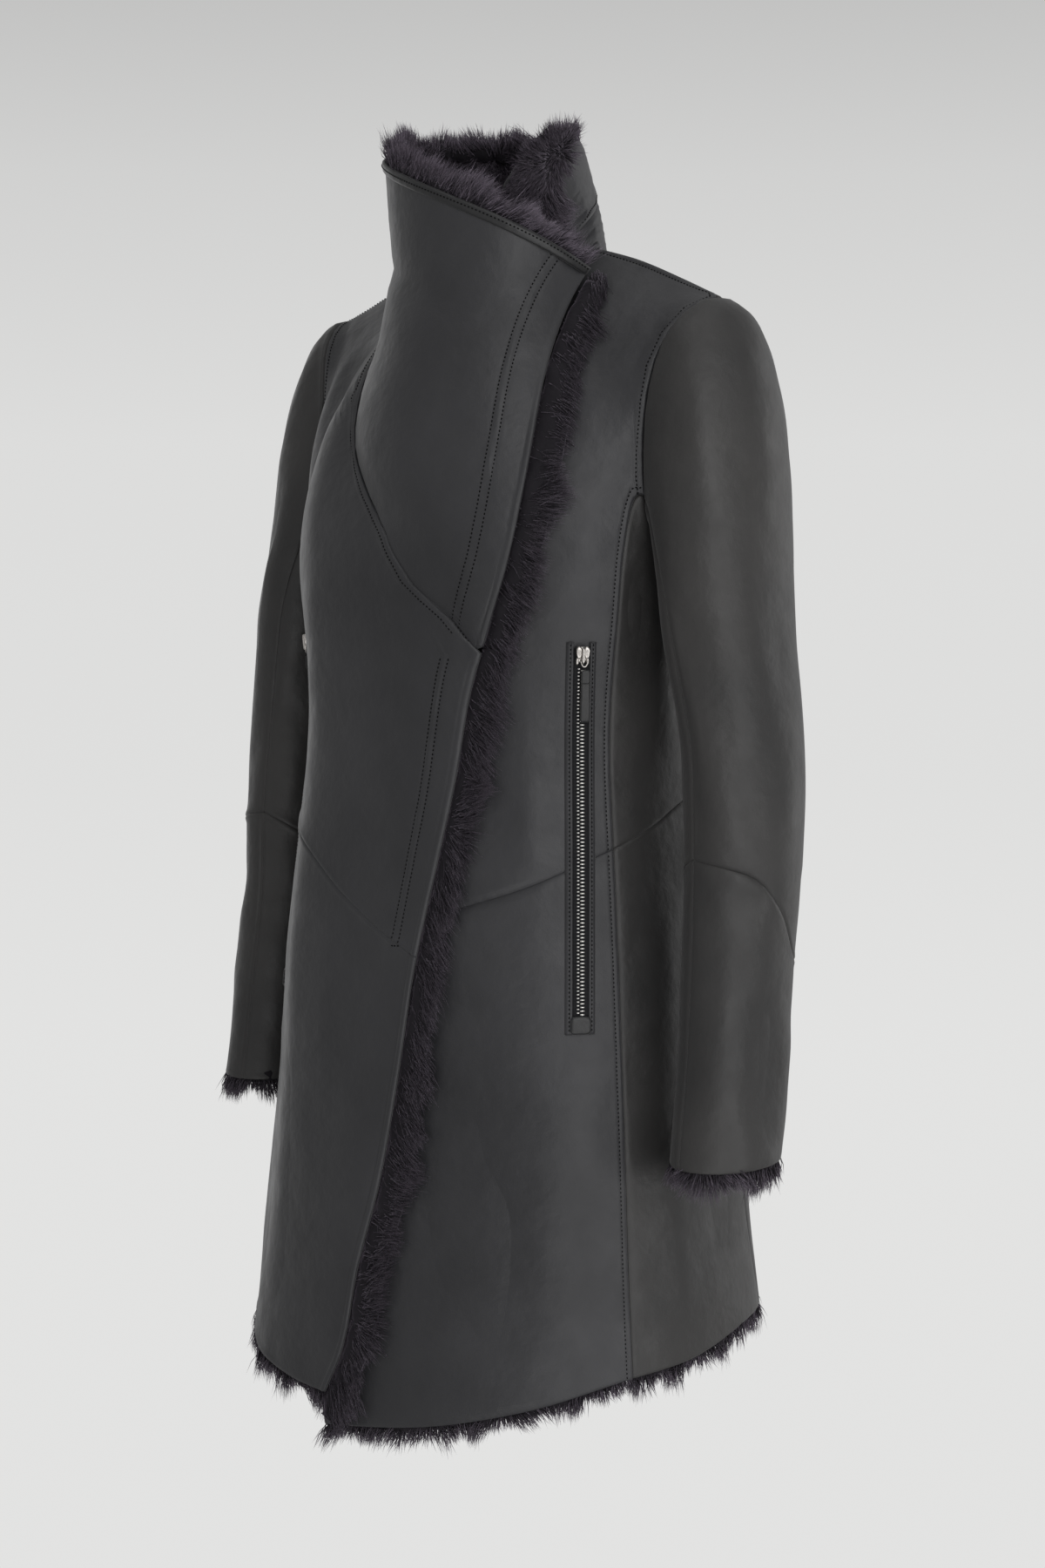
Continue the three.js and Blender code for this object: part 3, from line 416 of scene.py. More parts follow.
# %% [markdown]
# A sleeve is a tube that leaves the armhole and hangs a little forward. Its columns start at points round
# the armhole, run down over the shoulder on cubics, and then follow ovals to the cuff.

# %% Sleeves
# Z, X and Y of the middle, half width, half depth, squareness
SLEEVE = [
    (-280, 204, -22, 38, 53, 2.15), (-341, 215, -24, 37, 48, 2.15), (-408, 220.5, -28, 36, 47, 2.15),
    (-490, 221.5, -34, 34, 44, 2.15), (-549, 224, -42, 33, 43, 2.15), (-632, 226, -53, 33, 43.5, 2.15),
    (-660, 227, -57, 33, 44, 2.15),
]
# column, angle round the sleeve, the way and the strength with which it leaves the armhole
SLEEVE_COLUMNS = [
    (0, -10, 0.45, -0.25, -0.85), (1, 20, 0.56, -0.14, -0.55), (2, 52, 0.49, -0.24, -0.14),
    (3, 90, 0.61, 0, -0.1), (4, 128, 0.49, 0.24, -0.14), (5, 160, 0.56, 0.14, -0.55),
    (6, 190, 0.45, 0.25, -0.85), (7, 228, 0.3, 0.12, -0.9), (8, 270, 0.25, 0, -0.95),
    (9, 312, 0.3, -0.12, -0.9), (10, 350, 0.45, -0.25, -0.85),
]
ARMHOLE_FRONT = [(0, 73), (1, 68), (2, 64), (3, 60)]
ARMHOLE_BACK = [(3, 120), (4, 116), (5, 112), (6, 107), (7, 100), (8, 90), (9, 80), (10, 73)]
ELBOW = [
    (-10, -420), (20, -424), (55, -434), (76, -447), (97, -462), (115, -480), (190, -492), (270, -452),
    (350, -420),
]
SLEEVE_TOP = -280
CUFF = -629


def turn_of(column):
    """Angle round the sleeve of a column, with the table carried on past both ends."""
    table = np.array(SLEEVE_COLUMNS, float)
    wrapped = np.vstack([table[-3:-1] - [10, 360, 0, 0, 0], table, table[1:3] + [10, 360, 0, 0, 0]])
    return along(wrapped, column)


def sleeve_face(column, place, side):
    """The sleeve's face: place runs 0 to 1 down the shoulder's curve, and 1 to 2 from there to the cuff."""
    column, place = np.broadcast_arrays(np.asarray(column, float), np.asarray(place, float))
    column = np.where(column < 0, column + 10, np.where(column > 10, column - 10, column))
    turn, leave = turn_of(column)[..., 0], turn_of(column)[..., 1:]
    bodice = np.where(column < 3, read(ARMHOLE_FRONT, column), read(ARMHOLE_BACK, column))

    def tube(z):
        """The oval of the sleeve at a height."""
        x, y, half_width, depth, square = np.moveaxis(along(SLEEVE, z), -1, 0)
        return oval(half_width, depth, depth, x, y, square, turn, z)

    start, end = top_edge(bodice)[0], tube(np.full(turn.shape, float(SLEEVE_TOP)))
    arrive = (tube(np.full(turn.shape, SLEEVE_TOP - 20.0)) - end) / 20
    reach = np.linalg.norm(end - start, axis=-1, keepdims=True)
    cap = hermite(start, end, leave * reach, arrive * reach, np.clip(place, 0, 1)[..., None])
    arm = tube(mix(SLEEVE_TOP, CUFF, np.maximum(place - 1, 0)))
    return np.where((place > 1)[..., None], arm, cap) * np.array([side, 1, 1])


def elbow_place(column):
    """The place of the elbow seam on a column."""
    return 1 + (SLEEVE_TOP - read(ELBOW, turn_of(column)[..., 0])) / (SLEEVE_TOP - CUFF)


print("left cuff, outer side:", sleeve_face(3.0, 2.0, 1).round(1))

# %% [markdown]
# A piece of leather is a grid of points on its surface. The grid is fine beside the borders, where the
# skin rolls into the seam, and coarser in the middle. A fold in the skin lifts or lowers the points along
# the surface's own outward direction.

# %% Grids and distances
STEP = 7.0
BORDER_STEPS = np.array([0, 0.5, 1.2, 2.4, 3.8, 4.7, 5.6, 7.4, 11.0])
PLACKET_STEPS = np.concatenate([BORDER_STEPS, np.arange(13.5, 34, 1.4)])


def shares_of(length, start=BORDER_STEPS, end=BORDER_STEPS, step=STEP):
    """Shares of a length: given steps in from both ends, and even steps between them."""
    left = start / length
    right = 1 - end[::-1] / length
    count = max(2, int(round((right[0] - left[-1]) * length / step)))
    middle = np.linspace(left[-1], right[0], count + 1)[1:-1]
    return np.concatenate([left, middle, right])


def panel(place, low, high, start, end, across, up):
    """Points between four borders. Angle and height each depend on the other, so they settle in rounds."""
    height = np.full((len(up), len(across)), -300.0)
    for _ in range(14):
        angle = mix(start(height), end(height), across[None, :])
        height = mix(low(angle), high(angle), up[:, None])
    return place(angle, height)


def grid_out(points):
    """Outward direction at each grid point: slope across crossed with slope up."""
    return unit(np.cross(np.gradient(points, axis=1), np.gradient(points, axis=0)))


def run_in(points):
    """How far each point is from the first and last columns, along its row and then square to them."""
    steps = np.linalg.norm(np.diff(points, axis=1), axis=-1)
    run = np.concatenate([np.zeros((len(points), 1)), np.cumsum(steps, axis=1)], axis=1)

    def square(edge, inner):
        """Sine of the angle between a row and the border that it meets."""
        rows, border = unit(inner - edge), unit(np.gradient(edge, axis=0))
        return np.linalg.norm(np.cross(rows, border), axis=-1)[:, None]

    first = run * square(points[:, 0], points[:, 4])
    last = (run[:, -1:] - run) * square(points[:, -1], points[:, -5])
    return first, last


def distances(points):
    """Distance to the left, right, low and high borders of a grid."""
    left, right = run_in(points)
    low, high = (d.T for d in run_in(points.transpose(1, 0, 2)))
    return {"left": left, "right": right, "low": low, "high": high}


print("columns of a 300 mm panel:", len(shares_of(300)))

# %% [markdown]
# Each border has its own finish. A plain seam is a fine valley. A topstitched seam swells over the folded
# allowance, dips at the stitches and falls to the piece that lies under it. A raw edge is only rounded.
# The long creases are listed one by one: soft ridges and troughs, each with its own length, width and depth.

# %% Relief of the skin
STITCH_IN = 4.7


def bell(d, middle, width):
    """A bell-shaped bump round a distance."""
    return np.exp(-(((d - middle) / width) ** 2))


def seam_relief(kind, d):
    """Height of the skin at a distance from a border, in millimetres."""
    if kind == "plain":
        return -0.6 * bell(d, 0, 0.9) + 0.15 * bell(d, 2.4, 1.5)
    if kind == "under":
        return -0.8 * bell(d, 0, 1.1)
    if kind == "sleeve":
        return -1.3 * bell(d, 0, 0.9) + 0.9 * bell(d, 2.6, 1.8)
    if kind == "stitched":
        swell = 0.65 * smooth(d / 1.0) * (1 - smooth((d - STITCH_IN) / 4))
        return swell - 1.0 * bell(d, 0, 0.7) - 0.6 * bell(d, STITCH_IN, 0.7)
    if kind == "folded":
        swell = 0.5 * smooth(d / 0.9) * (1 - smooth((d - 3.4) / 1))
        return swell - 0.6 * bell(d, 0, 0.5) - 0.35 * bell(d, 4.6, 0.5)
    return -0.5 * bell(d, 0, 0.8)


# where, start, end, bow, width, depth: on the body a place is an angle and a height, on a sleeve a column
# and a place
CREASES = [
    ("body", (-47, -40), (-66, -236), 8, 13, 3.0),
    ("body", (-40, -60), (-56, -250), 6, 11, -2.8),
    ("body", (-34, -95), (-47, -300), 5, 15, 2.2),
    ("body", (-60, -150), (-78, -250), 4, 9, -2.2),
    ("body", (-52, -250), (-62, -400), -4, 16, 1.8),
    ("body", (-25, -300), (-38, -470), 4, 20, -1.6),
    ("body", (-60, -420), (-52, -600), 5, 18, 1.6),
    ("body", (-40, -520), (-30, -790), -6, 24, -2.6),
    ("body", (-62, -560), (-55, -780), 6, 16, 2.4),
    ("body", (-75, -520), (-72, -770), -4, 17, -2.4),
    ("body", (5, -560), (-5, -800), 4, 22, 1.6),
    ("body", (50, -60), (60, -190), -8, 12, -1.6),
    ("body", (62, -180), (54, -330), 7, 15, 1.8),
    ("body", (70, -215), (84, -330), 5, 10, -2.6),
    ("body", (76, -225), (92, -390), 5, 13, 2.2),
    ("body", (40, -290), (47, -470), -5, 18, 1.5),
    ("body", (34, -470), (28, -700), 6, 34, -1.6),
    ("body", (50, -560), (56, -790), -6, 26, 2.0),
    ("body", (38, -620), (40, -815), 3, 32, -1.6),
    ("body", (84, -440), (80, -640), 6, 16, 1.8),
    ("body", (94, -520), (98, -760), -6, 18, -2.6),
    ("body", (82, -600), (84, -775), 4, 15, 2.0),
    ("body", (112, -230), (130, -350), -8, 12, -2.4),
    ("body", (106, -210), (122, -330), -6, 11, 2.2),
    ("body", (150, -60), (160, -200), 9, 20, 1.6),
    ("body", (128, -100), (138, -260), -7, 15, -1.8),
    ("body", (175, -230), (168, -400), 5, 20, -1.6),
    ("body", (140, -420), (136, -700), -6, 22, 2.4),
    ("body", (158, -470), (160, -775), 6, 24, -2.8),
    ("body", (176, -430), (178, -770), -5, 22, 2.2),
    ("body", (196, -460), (193, -770), 5, 20, -2.4),
    ("body", (214, -440), (220, -760), 6, 23, 2.2),
    ("body", (234, -520), (238, -765), -5, 17, -2.2),
    ("body", (205, -80), (198, -230), -8, 18, -1.7),
    ("body", (232, -110), (224, -300), 7, 14, 1.9),
    ("body", (250, -220), (238, -340), 6, 12, -2.2),
    ("left", (0.4, 0.75), (1.6, 1.35), 6, 13, -2.2),
    ("left", (0.2, 1.0), (1.1, 1.5), -5, 12, 2.0),
    ("left", (2.2, 0.55), (2.6, 1.2), 6, 18, 1.6),
    ("left", (1.0, 1.5), (2.8, 1.42), 9, 10, -1.6),
    ("left", (3.4, 1.1), (3.0, 1.55), 5, 16, 1.4),
    ("left", (4.6, 1.42), (5.8, 1.56), 7, 9, -1.8),
    ("left", (4.4, 1.62), (5.7, 1.7), -5, 9, 1.5),
    ("left", (1.2, 1.62), (1.6, 1.98), 4, 15, 1.6),
    ("left", (2.6, 1.6), (2.4, 1.99), -4, 18, -1.8),
    ("left", (4.0, 1.7), (4.3, 1.99), 3, 14, 1.5),
    ("left", (8.6, 0.7), (9.4, 1.3), 5, 11, -2.0),
    ("left", (7.2, 0.8), (6.6, 1.35), -5, 12, 1.8),
    ("right", (0.6, 0.5), (0.9, 1.2), 6, 12, 2.2),
    ("right", (1.2, 0.35), (1.7, 1.0), -5, 11, -2.2),
    ("right", (2.4, 0.6), (2.0, 1.3), 5, 15, 1.8),
    ("right", (0.3, 1.2), (1.2, 1.45), 7, 9, -1.8),
    ("right", (1.0, 1.55), (1.9, 1.9), 6, 10, 2.2),
    ("right", (1.6, 1.5), (2.5, 1.8), -5, 10, -2.0),
    ("right", (3.0, 1.2), (3.3, 1.6), 5, 14, 1.5),
    ("right", (4.6, 1.4), (5.8, 1.54), 7, 9, -1.8),
    ("right", (8.7, 0.7), (9.5, 1.3), 5, 11, -2.0),
    ("right", (7.2, 0.8), (6.5, 1.3), -5, 12, 1.8),
]
FOLD = 1.3
SURFACES = {
    "body": face,
    "left": lambda column, place: sleeve_face(column, place, 1),
    "right": lambda column, place: sleeve_face(column, place, -1),
}


def crease_path(where, start, end, bow):
    """Nine points on the surface from start to end, bowed sideways by a parabola."""
    t = np.linspace(0, 1, 9)
    points = SURFACES[where](mix(start[0], end[0], t), mix(start[1], end[1], t))
    chord = unit(points[-1] - points[0])
    aside = unit(np.cross(chord, unit(points[4] * [1, 1, 0])))
    return points + aside * (4 * bow * t * (1 - t))[:, None]


def creases(points, wanted):
    """Sum of soft ridges: depth times a bell of the distance to each path, fading at its two ends."""
    relief = np.zeros(points.shape[:-1])
    for where, start, end, bow, width, depth in CREASES:
        if where != wanted:
            continue
        path = crease_path(where, start, end, bow)
        best, place = np.full(relief.shape, 1e9), np.zeros(relief.shape)
        for k in range(len(path) - 1):
            a, b = path[k], path[k + 1]
            t = np.clip(((points - a) @ (b - a)) / ((b - a) @ (b - a)), 0, 1)
            d = np.linalg.norm(points - a - t[..., None] * (b - a), axis=-1)
            closer = d < best
            best, place = np.where(closer, d, best), np.where(closer, (k + t) / (len(path) - 1), place)
        fade = smooth(place / 0.3) * smooth((1 - place) / 0.4)
        relief += FOLD * depth * fade * np.exp(-((best / width) ** 2))
    return relief


def ripple(points, wavelength, seed, waves=14):
    """An uneven surface of about unit height: plane waves of near the same length in random directions."""
    dice = np.random.default_rng(seed)
    ways = unit(dice.normal(size=(waves, 3))) * [1, 1, 0.6]
    lengths = wavelength * dice.uniform(0.7, 1.5, waves)
    phases = dice.uniform(0, 2 * np.pi, waves)
    return np.sin(points @ (ways.T * 2 * np.pi / lengths) + phases).sum(-1) / np.sqrt(waves / 2)


def hang(points):
    """The slight unevenness of soft leather: slow swells with a trace of finer wrinkling."""
    return 0.6 * ripple(points, 130, 3) + 0.2 * ripple(points, 52, 5) + 0.08 * ripple(points, 26, 4)


print(len(CREASES), "creases placed by hand")

# %% [markdown]
# A mesh is filled straight from arrays: all points, then the corners of all faces. Every piece is a
# closed shell, so a skin has an outer grid, an inner grid and a rim that joins them.

# %% Making meshes
DRAWN = {"triangles": 0}


def grid_faces(rows, columns, offset=0, around=False):
    """Quads of a grid of points, counted row by row. Around joins the last column to the first."""
    r, c = np.meshgrid(np.arange(rows - 1), np.arange(columns if around else columns - 1), indexing="ij")
    d = (c + 1) % columns
    quads = [r * columns + c, r * columns + d, (r + 1) * columns + d, (r + 1) * columns + c]
    return np.stack(quads, -1).reshape(-1, 4) + offset


def shell(outer, inner):
    """A closed skin from two grids of the same size."""
    rows, columns = outer.shape[:2]
    size = rows * columns
    ids = np.arange(size).reshape(rows, columns)
    loop = np.concatenate([ids[0, :-1], ids[:-1, -1], ids[-1, :0:-1], ids[:0:-1, 0]])
    after = np.roll(loop, -1)
    rim = np.stack([after, loop, loop + size, after + size], -1)
    back = grid_faces(rows, columns, size)[:, ::-1]
    points = np.concatenate([outer.reshape(-1, 3), inner.reshape(-1, 3)])
    return points, [grid_faces(rows, columns), back, rim]


def tube(sections, ring=False):
    """A closed solid through loops of points, with a fan on each end or the ends joined."""
    count, corners = sections.shape[:2]
    points = sections.reshape(-1, 3)
    if ring:
        sections = np.concatenate([sections, sections[:1]])
        faces = grid_faces(count + 1, corners, around=True) % (count * corners)
        return points, [faces]
    faces = grid_faces(count, corners, around=True)
    k = np.arange(corners)
    after = (k + 1) % corners
    last = (count - 1) * corners
    start = np.stack([np.full(corners, len(points)), after, k], -1)
    end = np.stack([np.full(corners, len(points) + 1), last + k, last + after], -1)
    middles = np.stack([sections[0].mean(0), sections[-1].mean(0)])
    return np.concatenate([points, middles]), [faces, start, end]


def facing_out(part):
    """The same part with its faces turned round if it encloses a negative volume."""
    points, faces = part
    volume = 0.0
    for f in faces:
        for k in range(1, f.shape[1] - 1):
            a, b, c = points[f[:, 0]], points[f[:, k]], points[f[:, k + 1]]
            volume += (a * np.cross(b, c)).sum()
    return (points, [f[:, ::-1] for f in faces]) if volume < 0 else part


def add_piece(name, parts, material, nodes=(), attributes=None):
    """One object of several closed parts, riding on the coat's body and standing for the named nodes."""
    points, faces, offset = [], [], 0
    for p, fs in parts:
        points.append(p)
        faces += [f + offset for f in fs]
        offset += len(p)
    points = np.concatenate(points)
    sizes = np.concatenate([np.full(len(f), f.shape[1]) for f in faces])
    corners = np.concatenate([f.ravel() for f in faces])
    mesh = bpy.data.meshes.new(name)
    mesh.vertices.add(len(points))
    mesh.vertices.foreach_set("co", (points * MM).astype(np.float32).ravel())
    mesh.loops.add(len(corners))
    mesh.loops.foreach_set("vertex_index", corners.astype(np.int32))
    mesh.polygons.add(len(sizes))
    mesh.polygons.foreach_set("loop_start", (np.cumsum(sizes) - sizes).astype(np.int32))
    mesh.update(calc_edges=True)
    for key, values in (attributes or {}).items():
        mesh.attributes.new(key, "FLOAT", "POINT").data.foreach_set("value", values.astype(np.float32))
    mesh.shade_smooth()
    mesh.materials.append(material)
    piece = bpy.data.objects.new(name, mesh)
    bpy.context.scene.collection.objects.link(piece)
    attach(piece, "root")
    if nodes:
        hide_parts(*nodes)
    triangles = int((sizes - 2).sum())
    DRAWN["triangles"] += triangles
    return piece


print("faces of a 3 by 3 grid:", len(grid_faces(3, 3)))

# %% [markdown]
# Nappa leather is soft and nearly black. Its shine is satin: broad, grey and a little uneven, because the
# grain is a net of tiny cells and the skin has softer and tighter patches. Colour comes from slow noise,
# roughness from finer noise, and the bump from cells with fine pores, all on object coordinates.

# %% Materials: helpers and leather
def new_material(name, color, roughness, **sockets):
    """A Principled material with its constant sockets set, and its node tree's parts to build on."""
    material = bpy.data.materials.new(name)
    material.use_nodes = True
    tree = material.node_tree
    shader = tree.nodes["Principled BSDF"]
    shader.inputs["Base Color"].default_value = (*color, 1)
    shader.inputs["Roughness"].default_value = roughness
    for key, value in sockets.items():
        shader.inputs[key.replace("_", " ")].default_value = value
    return material, tree, shader


def add_node(tree, kind, settings=None, **inputs):
    """A node with its settings and inputs. An input that is a socket becomes a link."""
    node = tree.nodes.new(kind)
    for key, value in (settings or {}).items():
        setattr(node, key, value)
    for key, value in inputs.items():
        socket = node.inputs[key.replace("_", " ")]
        if isinstance(value, bpy.types.NodeSocket):
            tree.links.new(value, socket)
        else:
            socket.default_value = value
    return node


def object_place(tree):
    """Object coordinates, in metres."""
    return add_node(tree, "ShaderNodeTexCoord").outputs["Object"]


def two_colors(tree, factor, dark, light, low=0.3, high=0.7):
    """A ramp between two colours."""
    ramp = add_node(tree, "ShaderNodeValToRGB", Fac=factor)
    ramp.color_ramp.elements[0].position, ramp.color_ramp.elements[1].position = low, high
    ramp.color_ramp.elements[0].color, ramp.color_ramp.elements[1].color = (*dark, 1), (*light, 1)
    return ramp.outputs["Color"]


def leather_material(name, dark, light, roughness, shine, seed=0.0):
    """Satin leather: slow colour patches, uneven shine, and a bump of pebbled cells, pores and wrinkles."""
    material, tree, shader = new_material(name, dark, roughness, **shine)
    place = add_node(tree, "ShaderNodeMapping", Vector=object_place(tree), Location=(seed, seed, 0))
    place = place.outputs["Vector"]
    patches = add_node(tree, "ShaderNodeTexNoise", Vector=place, Scale=9, Detail=5, Roughness=0.55)
    tree.links.new(two_colors(tree, patches.outputs["Fac"], dark, light), shader.inputs["Base Color"])
    worn = add_node(tree, "ShaderNodeTexNoise", Vector=place, Scale=45, Detail=4, Roughness=0.6)
    rough = add_node(tree, "ShaderNodeMapRange", Value=worn.outputs["Fac"])
    rough.inputs["From Min"].default_value, rough.inputs["From Max"].default_value = 0.3, 0.7
    rough.inputs["To Min"].default_value = roughness - 0.05
    rough.inputs["To Max"].default_value = roughness + 0.07
    tree.links.new(rough.outputs["Result"], shader.inputs["Roughness"])
    cells = add_node(tree, "ShaderNodeTexVoronoi", Vector=place, Scale=850, Randomness=1.0)
    pores = add_node(tree, "ShaderNodeTexNoise", Vector=place, Scale=1800, Detail=2)
    wrinkles = add_node(tree, "ShaderNodeTexNoise", Vector=place, Scale=160, Detail=3, Roughness=0.5)
    grain = add_node(tree, "ShaderNodeBump", Height=cells.outputs["Distance"], Strength=0.16, Distance=0.0003)
    fine = add_node(tree, "ShaderNodeBump", Height=pores.outputs["Fac"], Strength=0.1, Distance=0.0002)
    tree.links.new(grain.outputs["Normal"], fine.inputs["Normal"])
    soft = add_node(tree, "ShaderNodeBump", Height=wrinkles.outputs["Fac"], Strength=0.22, Distance=0.001)
    tree.links.new(fine.outputs["Normal"], soft.inputs["Normal"])
    slow = add_node(tree, "ShaderNodeTexNoise", Vector=place, Scale=38, Detail=3, Roughness=0.5)
    sway = add_node(tree, "ShaderNodeBump", Height=slow.outputs["Fac"], Strength=0.55, Distance=0.003)
    tree.links.new(soft.outputs["Normal"], sway.inputs["Normal"])
    tree.links.new(sway.outputs["Normal"], shader.inputs["Normal"])
    return material


SATIN = {"Specular_IOR_Level": 0.5, "Sheen_Weight": 0.12, "Sheen_Roughness": 0.5}
LEATHER = leather_material("nappa", (0.0105, 0.0105, 0.0125), (0.0255, 0.0255, 0.0285), 0.49, SATIN)
WARM_LEATHER = leather_material("nappa_side", (0.012, 0.0115, 0.0115), (0.0275, 0.026, 0.025), 0.5, SATIN, 3.0)
TRIM = leather_material("nappa_trim", (0.005, 0.005, 0.0055), (0.011, 0.011, 0.012), 0.42, SATIN, 5.0)
print("leather materials made")

# %% [markdown]
# The body's leather pieces. Borders are named for how each is sewn: the front pieces lap over the side
# pieces at the long seams, so the fronts are the stitched side and the sides lie under.

# %% Skins of the body
SKIN = 1.8
PLACKET = [(-490, 17.5), (-300, 21), (-100, 24)]
PLACKET_WIDTH = 6.2
PLACKET_END = -486
PLACKET_TOP = {"front_right_upper": LAPEL_FOOT - 3, "front_right_lower": -300, "lapel_right": 100}


def placket_relief(points, d, top):
    """Two stitched furrows beside the front edge with a low ridge between them, down to the bar tack."""
    first = read(PLACKET, np.clip(points[..., 2], -490, -100))
    shown = smooth((points[..., 2] - PLACKET_END) / 3) * smooth((top - points[..., 2]) / 3)
    furrows = sum(bell(d, first + k, 0.7) for k in (0, PLACKET_WIDTH))
    puckers = 1 + 0.8 * ripple(points, 14, 9)
    return shown * (0.4 * bell(d, first + PLACKET_WIDTH / 2, 2.1) * puckers - 0.5 * furrows)


def sheet_size(points):
    """Mean width and length of a grid, and its area, in metres."""
    across = np.linalg.norm(np.diff(points, axis=1), axis=-1).sum(1).mean()
    up = np.linalg.norm(np.diff(points, axis=0), axis=-1).sum(0).mean()
    a, b, c = points[:-1, :-1], points[:-1, 1:], points[1:, :-1]
    area = np.linalg.norm(np.cross(b - a, c - a), axis=-1).sum()
    return across * MM, up * MM, area * MM * MM


SKINS = {}
ZIP_CALM = (13.0, 22.0)


def beside_zip(points):
    """0 beside a pocket zip and 1 away from it, so that the folds stay clear of its edges."""
    height = np.linspace(ZIP_TOP + 8, ZIP_BOTTOM - 16, 40)
    nearest = np.full(points.shape[:-1], 1e9)
    for side in (1, -1):
        for place in on_body(np.full(height.shape, ZIP_ANGLE * side), height):
            nearest = np.minimum(nearest, np.linalg.norm(points - place, axis=-1))
    return smooth((nearest - ZIP_CALM[0]) / ZIP_CALM[1])


def add_skin(node, points, borders, where="body", placket=None, material=None):
    """A leather piece over one CAD node: the grid, raised by its seams, its creases and its slight unevenness."""
    away = distances(points)
    relief = sum(seam_relief(kind, away[border]) for border, kind in borders.items())
    calm = np.minimum.reduce(list(away.values()))
    folds = creases(points, where) * smooth(calm / 12) + hang(points) * smooth(calm / 6)
    relief = relief + folds * (beside_zip(points) if where == "body" else 1)
    if placket is not None:
        relief = relief + placket_relief(points, away["right"], placket)
    out = grid_out(points)
    outer = points + out * relief[..., None]
    inner = points - out * SKIN
    piece = add_piece("skin_" + node, [shell(outer, inner)], material or LEATHER, [node])
    width, length, area = sheet_size(points)
    SKINS[node] = {"points": outer, "out": grid_out(outer), "away": away, "size": (width, length, area)}
    return piece


def body_skins():
    """Fronts, sides and back, each in an upper and a lower piece."""
    back_end = lambda height: 360 - side_back(height)
    sides = {"stitched": BORDER_STEPS, "placket": PLACKET_STEPS}
    waist_back, hem_back = behind(WAIST_LEFT), behind(HEM_LEFT)
    table = [
        ("front_right_upper", on_right, waist_right, at_top, mirrored(princess), right_front_end, 270, 430,
         {"left": "stitched", "right": "stitched", "low": "plain", "high": "plain"}, "placket", LEATHER),
        ("front_right_lower", on_right, hem_right, waist_right, mirrored(princess), front_edge, 270, 360,
         {"left": "stitched", "right": "folded", "low": "raw", "high": "plain"}, "placket", LEATHER),
        ("front_left_upper", on_body, waist_left, at_top, under_edge, princess, 270, 430,
         {"left": "raw", "right": "stitched", "low": "plain", "high": "stitched"}, "stitched", LEATHER),
        ("front_left_lower", on_body, hem_left, waist_left, under_edge, princess, 270, 370,
         {"left": "raw", "right": "stitched", "low": "raw", "high": "plain"}, "stitched", LEATHER),
        ("side_left_upper", on_body, waist_left, at_top, princess, side_back, 110, 190,
         {"left": "under", "right": "plain", "low": "plain", "high": "under"}, "stitched", WARM_LEATHER),
        ("side_left_lower", on_body, hem_left, waist_left, princess, side_back, 125, 380,
         {"left": "under", "right": "plain", "low": "raw", "high": "plain"}, "stitched", WARM_LEATHER),
        ("side_right_upper", on_body, waist_right, at_top, mirrored(side_back), mirrored(princess), 110, 190,
         {"left": "plain", "right": "under", "low": "plain", "high": "under"}, "stitched", WARM_LEATHER),
        ("side_right_lower", on_body, hem_right, waist_right, mirrored(side_back), mirrored(princess), 125, 380,
         {"left": "plain", "right": "under", "low": "raw", "high": "plain"}, "stitched", WARM_LEATHER),
        ("back_upper", on_body, waist_back, at_top, side_back, back_end, 420, 380,
         {"left": "plain", "right": "plain", "low": "plain", "high": "plain"}, "stitched", WARM_LEATHER),
        ("back_lower", on_body, hem_back, waist_back, side_back, back_end, 440, 385,
         {"left": "plain", "right": "plain", "low": "raw", "high": "plain"}, "stitched", WARM_LEATHER),
    ]
    for node, place, low, high, start, end, width, length, borders, right, material in table:
        across = shares_of(width, BORDER_STEPS, sides[right])
        points = panel(place, low, high, start, end, across, shares_of(length))
        add_skin(node, points, borders, placket=PLACKET_TOP.get(node), material=material)


body_skins()
print("body skins:", len(SKINS), "pieces,", DRAWN["triangles"], "triangles")

# %% [markdown]
# The collar's two pieces, the lapel and the sleeves follow their own surfaces and are finished the same
# way. The placket's stitching starts on the lapel and runs on down the right front.

# %% Skins of collar, lapel and sleeves
def collar_skins():
    """Left collar, back collar and lapel."""
    up = shares_of(85)[:, None]
    share = mix(0.006, 1, up)
    seam = read(COLLAR_SEAM_LEFT, share)
    front = read(COLLAR_FRONT, share)
    left = collar_face(mix(front, seam, shares_of(95)[None, :]), share)
    add_skin("collar_left", left, {"left": "raw", "right": "stitched", "low": "plain", "high": "raw"}, "none")
    back = collar_face(mix(seam, COLLAR_END, shares_of(230)[None, :]), share)
    add_skin("collar_back", back, {"left": "under", "right": "plain", "low": "plain", "high": "raw"}, "none")
    across, rows = shares_of(215, BORDER_STEPS, PLACKET_STEPS)[None, :], shares_of(330)[:, None] * LAPEL_TOP
    borders = {"left": "under", "right": "folded", "low": "plain", "high": "raw"}
    add_skin("lapel_right", lapel_face(across, rows), borders, "none", placket=PLACKET_TOP["lapel_right"])


def sleeve_skins():
    """Four pieces a sleeve: outer and under, above and below the elbow seam."""
    for side, name in ((1, "left"), (-1, "right")):
        for kind, first, last, width in (("outer", 0, 6, 140), ("under", 6, 10, 110)):
            across = mix(first, last, shares_of(width)[None, :])
            elbow = elbow_place(across)
            upper = mix(elbow, 0, shares_of(400)[:, None])
            lower = mix(2, elbow, shares_of(185)[:, None])
            for part, place, low, high in (("upper", upper, "plain", "sleeve"), ("lower", lower, "raw", "plain")):
                points = sleeve_face(across, place, side)
                points = points if side > 0 else points[:, ::-1]
                borders = {"left": "plain", "right": "plain", "low": low, "high": high}
                add_skin(f"sleeve_{name}_{kind}_{part}", points, borders, name, material=WARM_LEATHER)


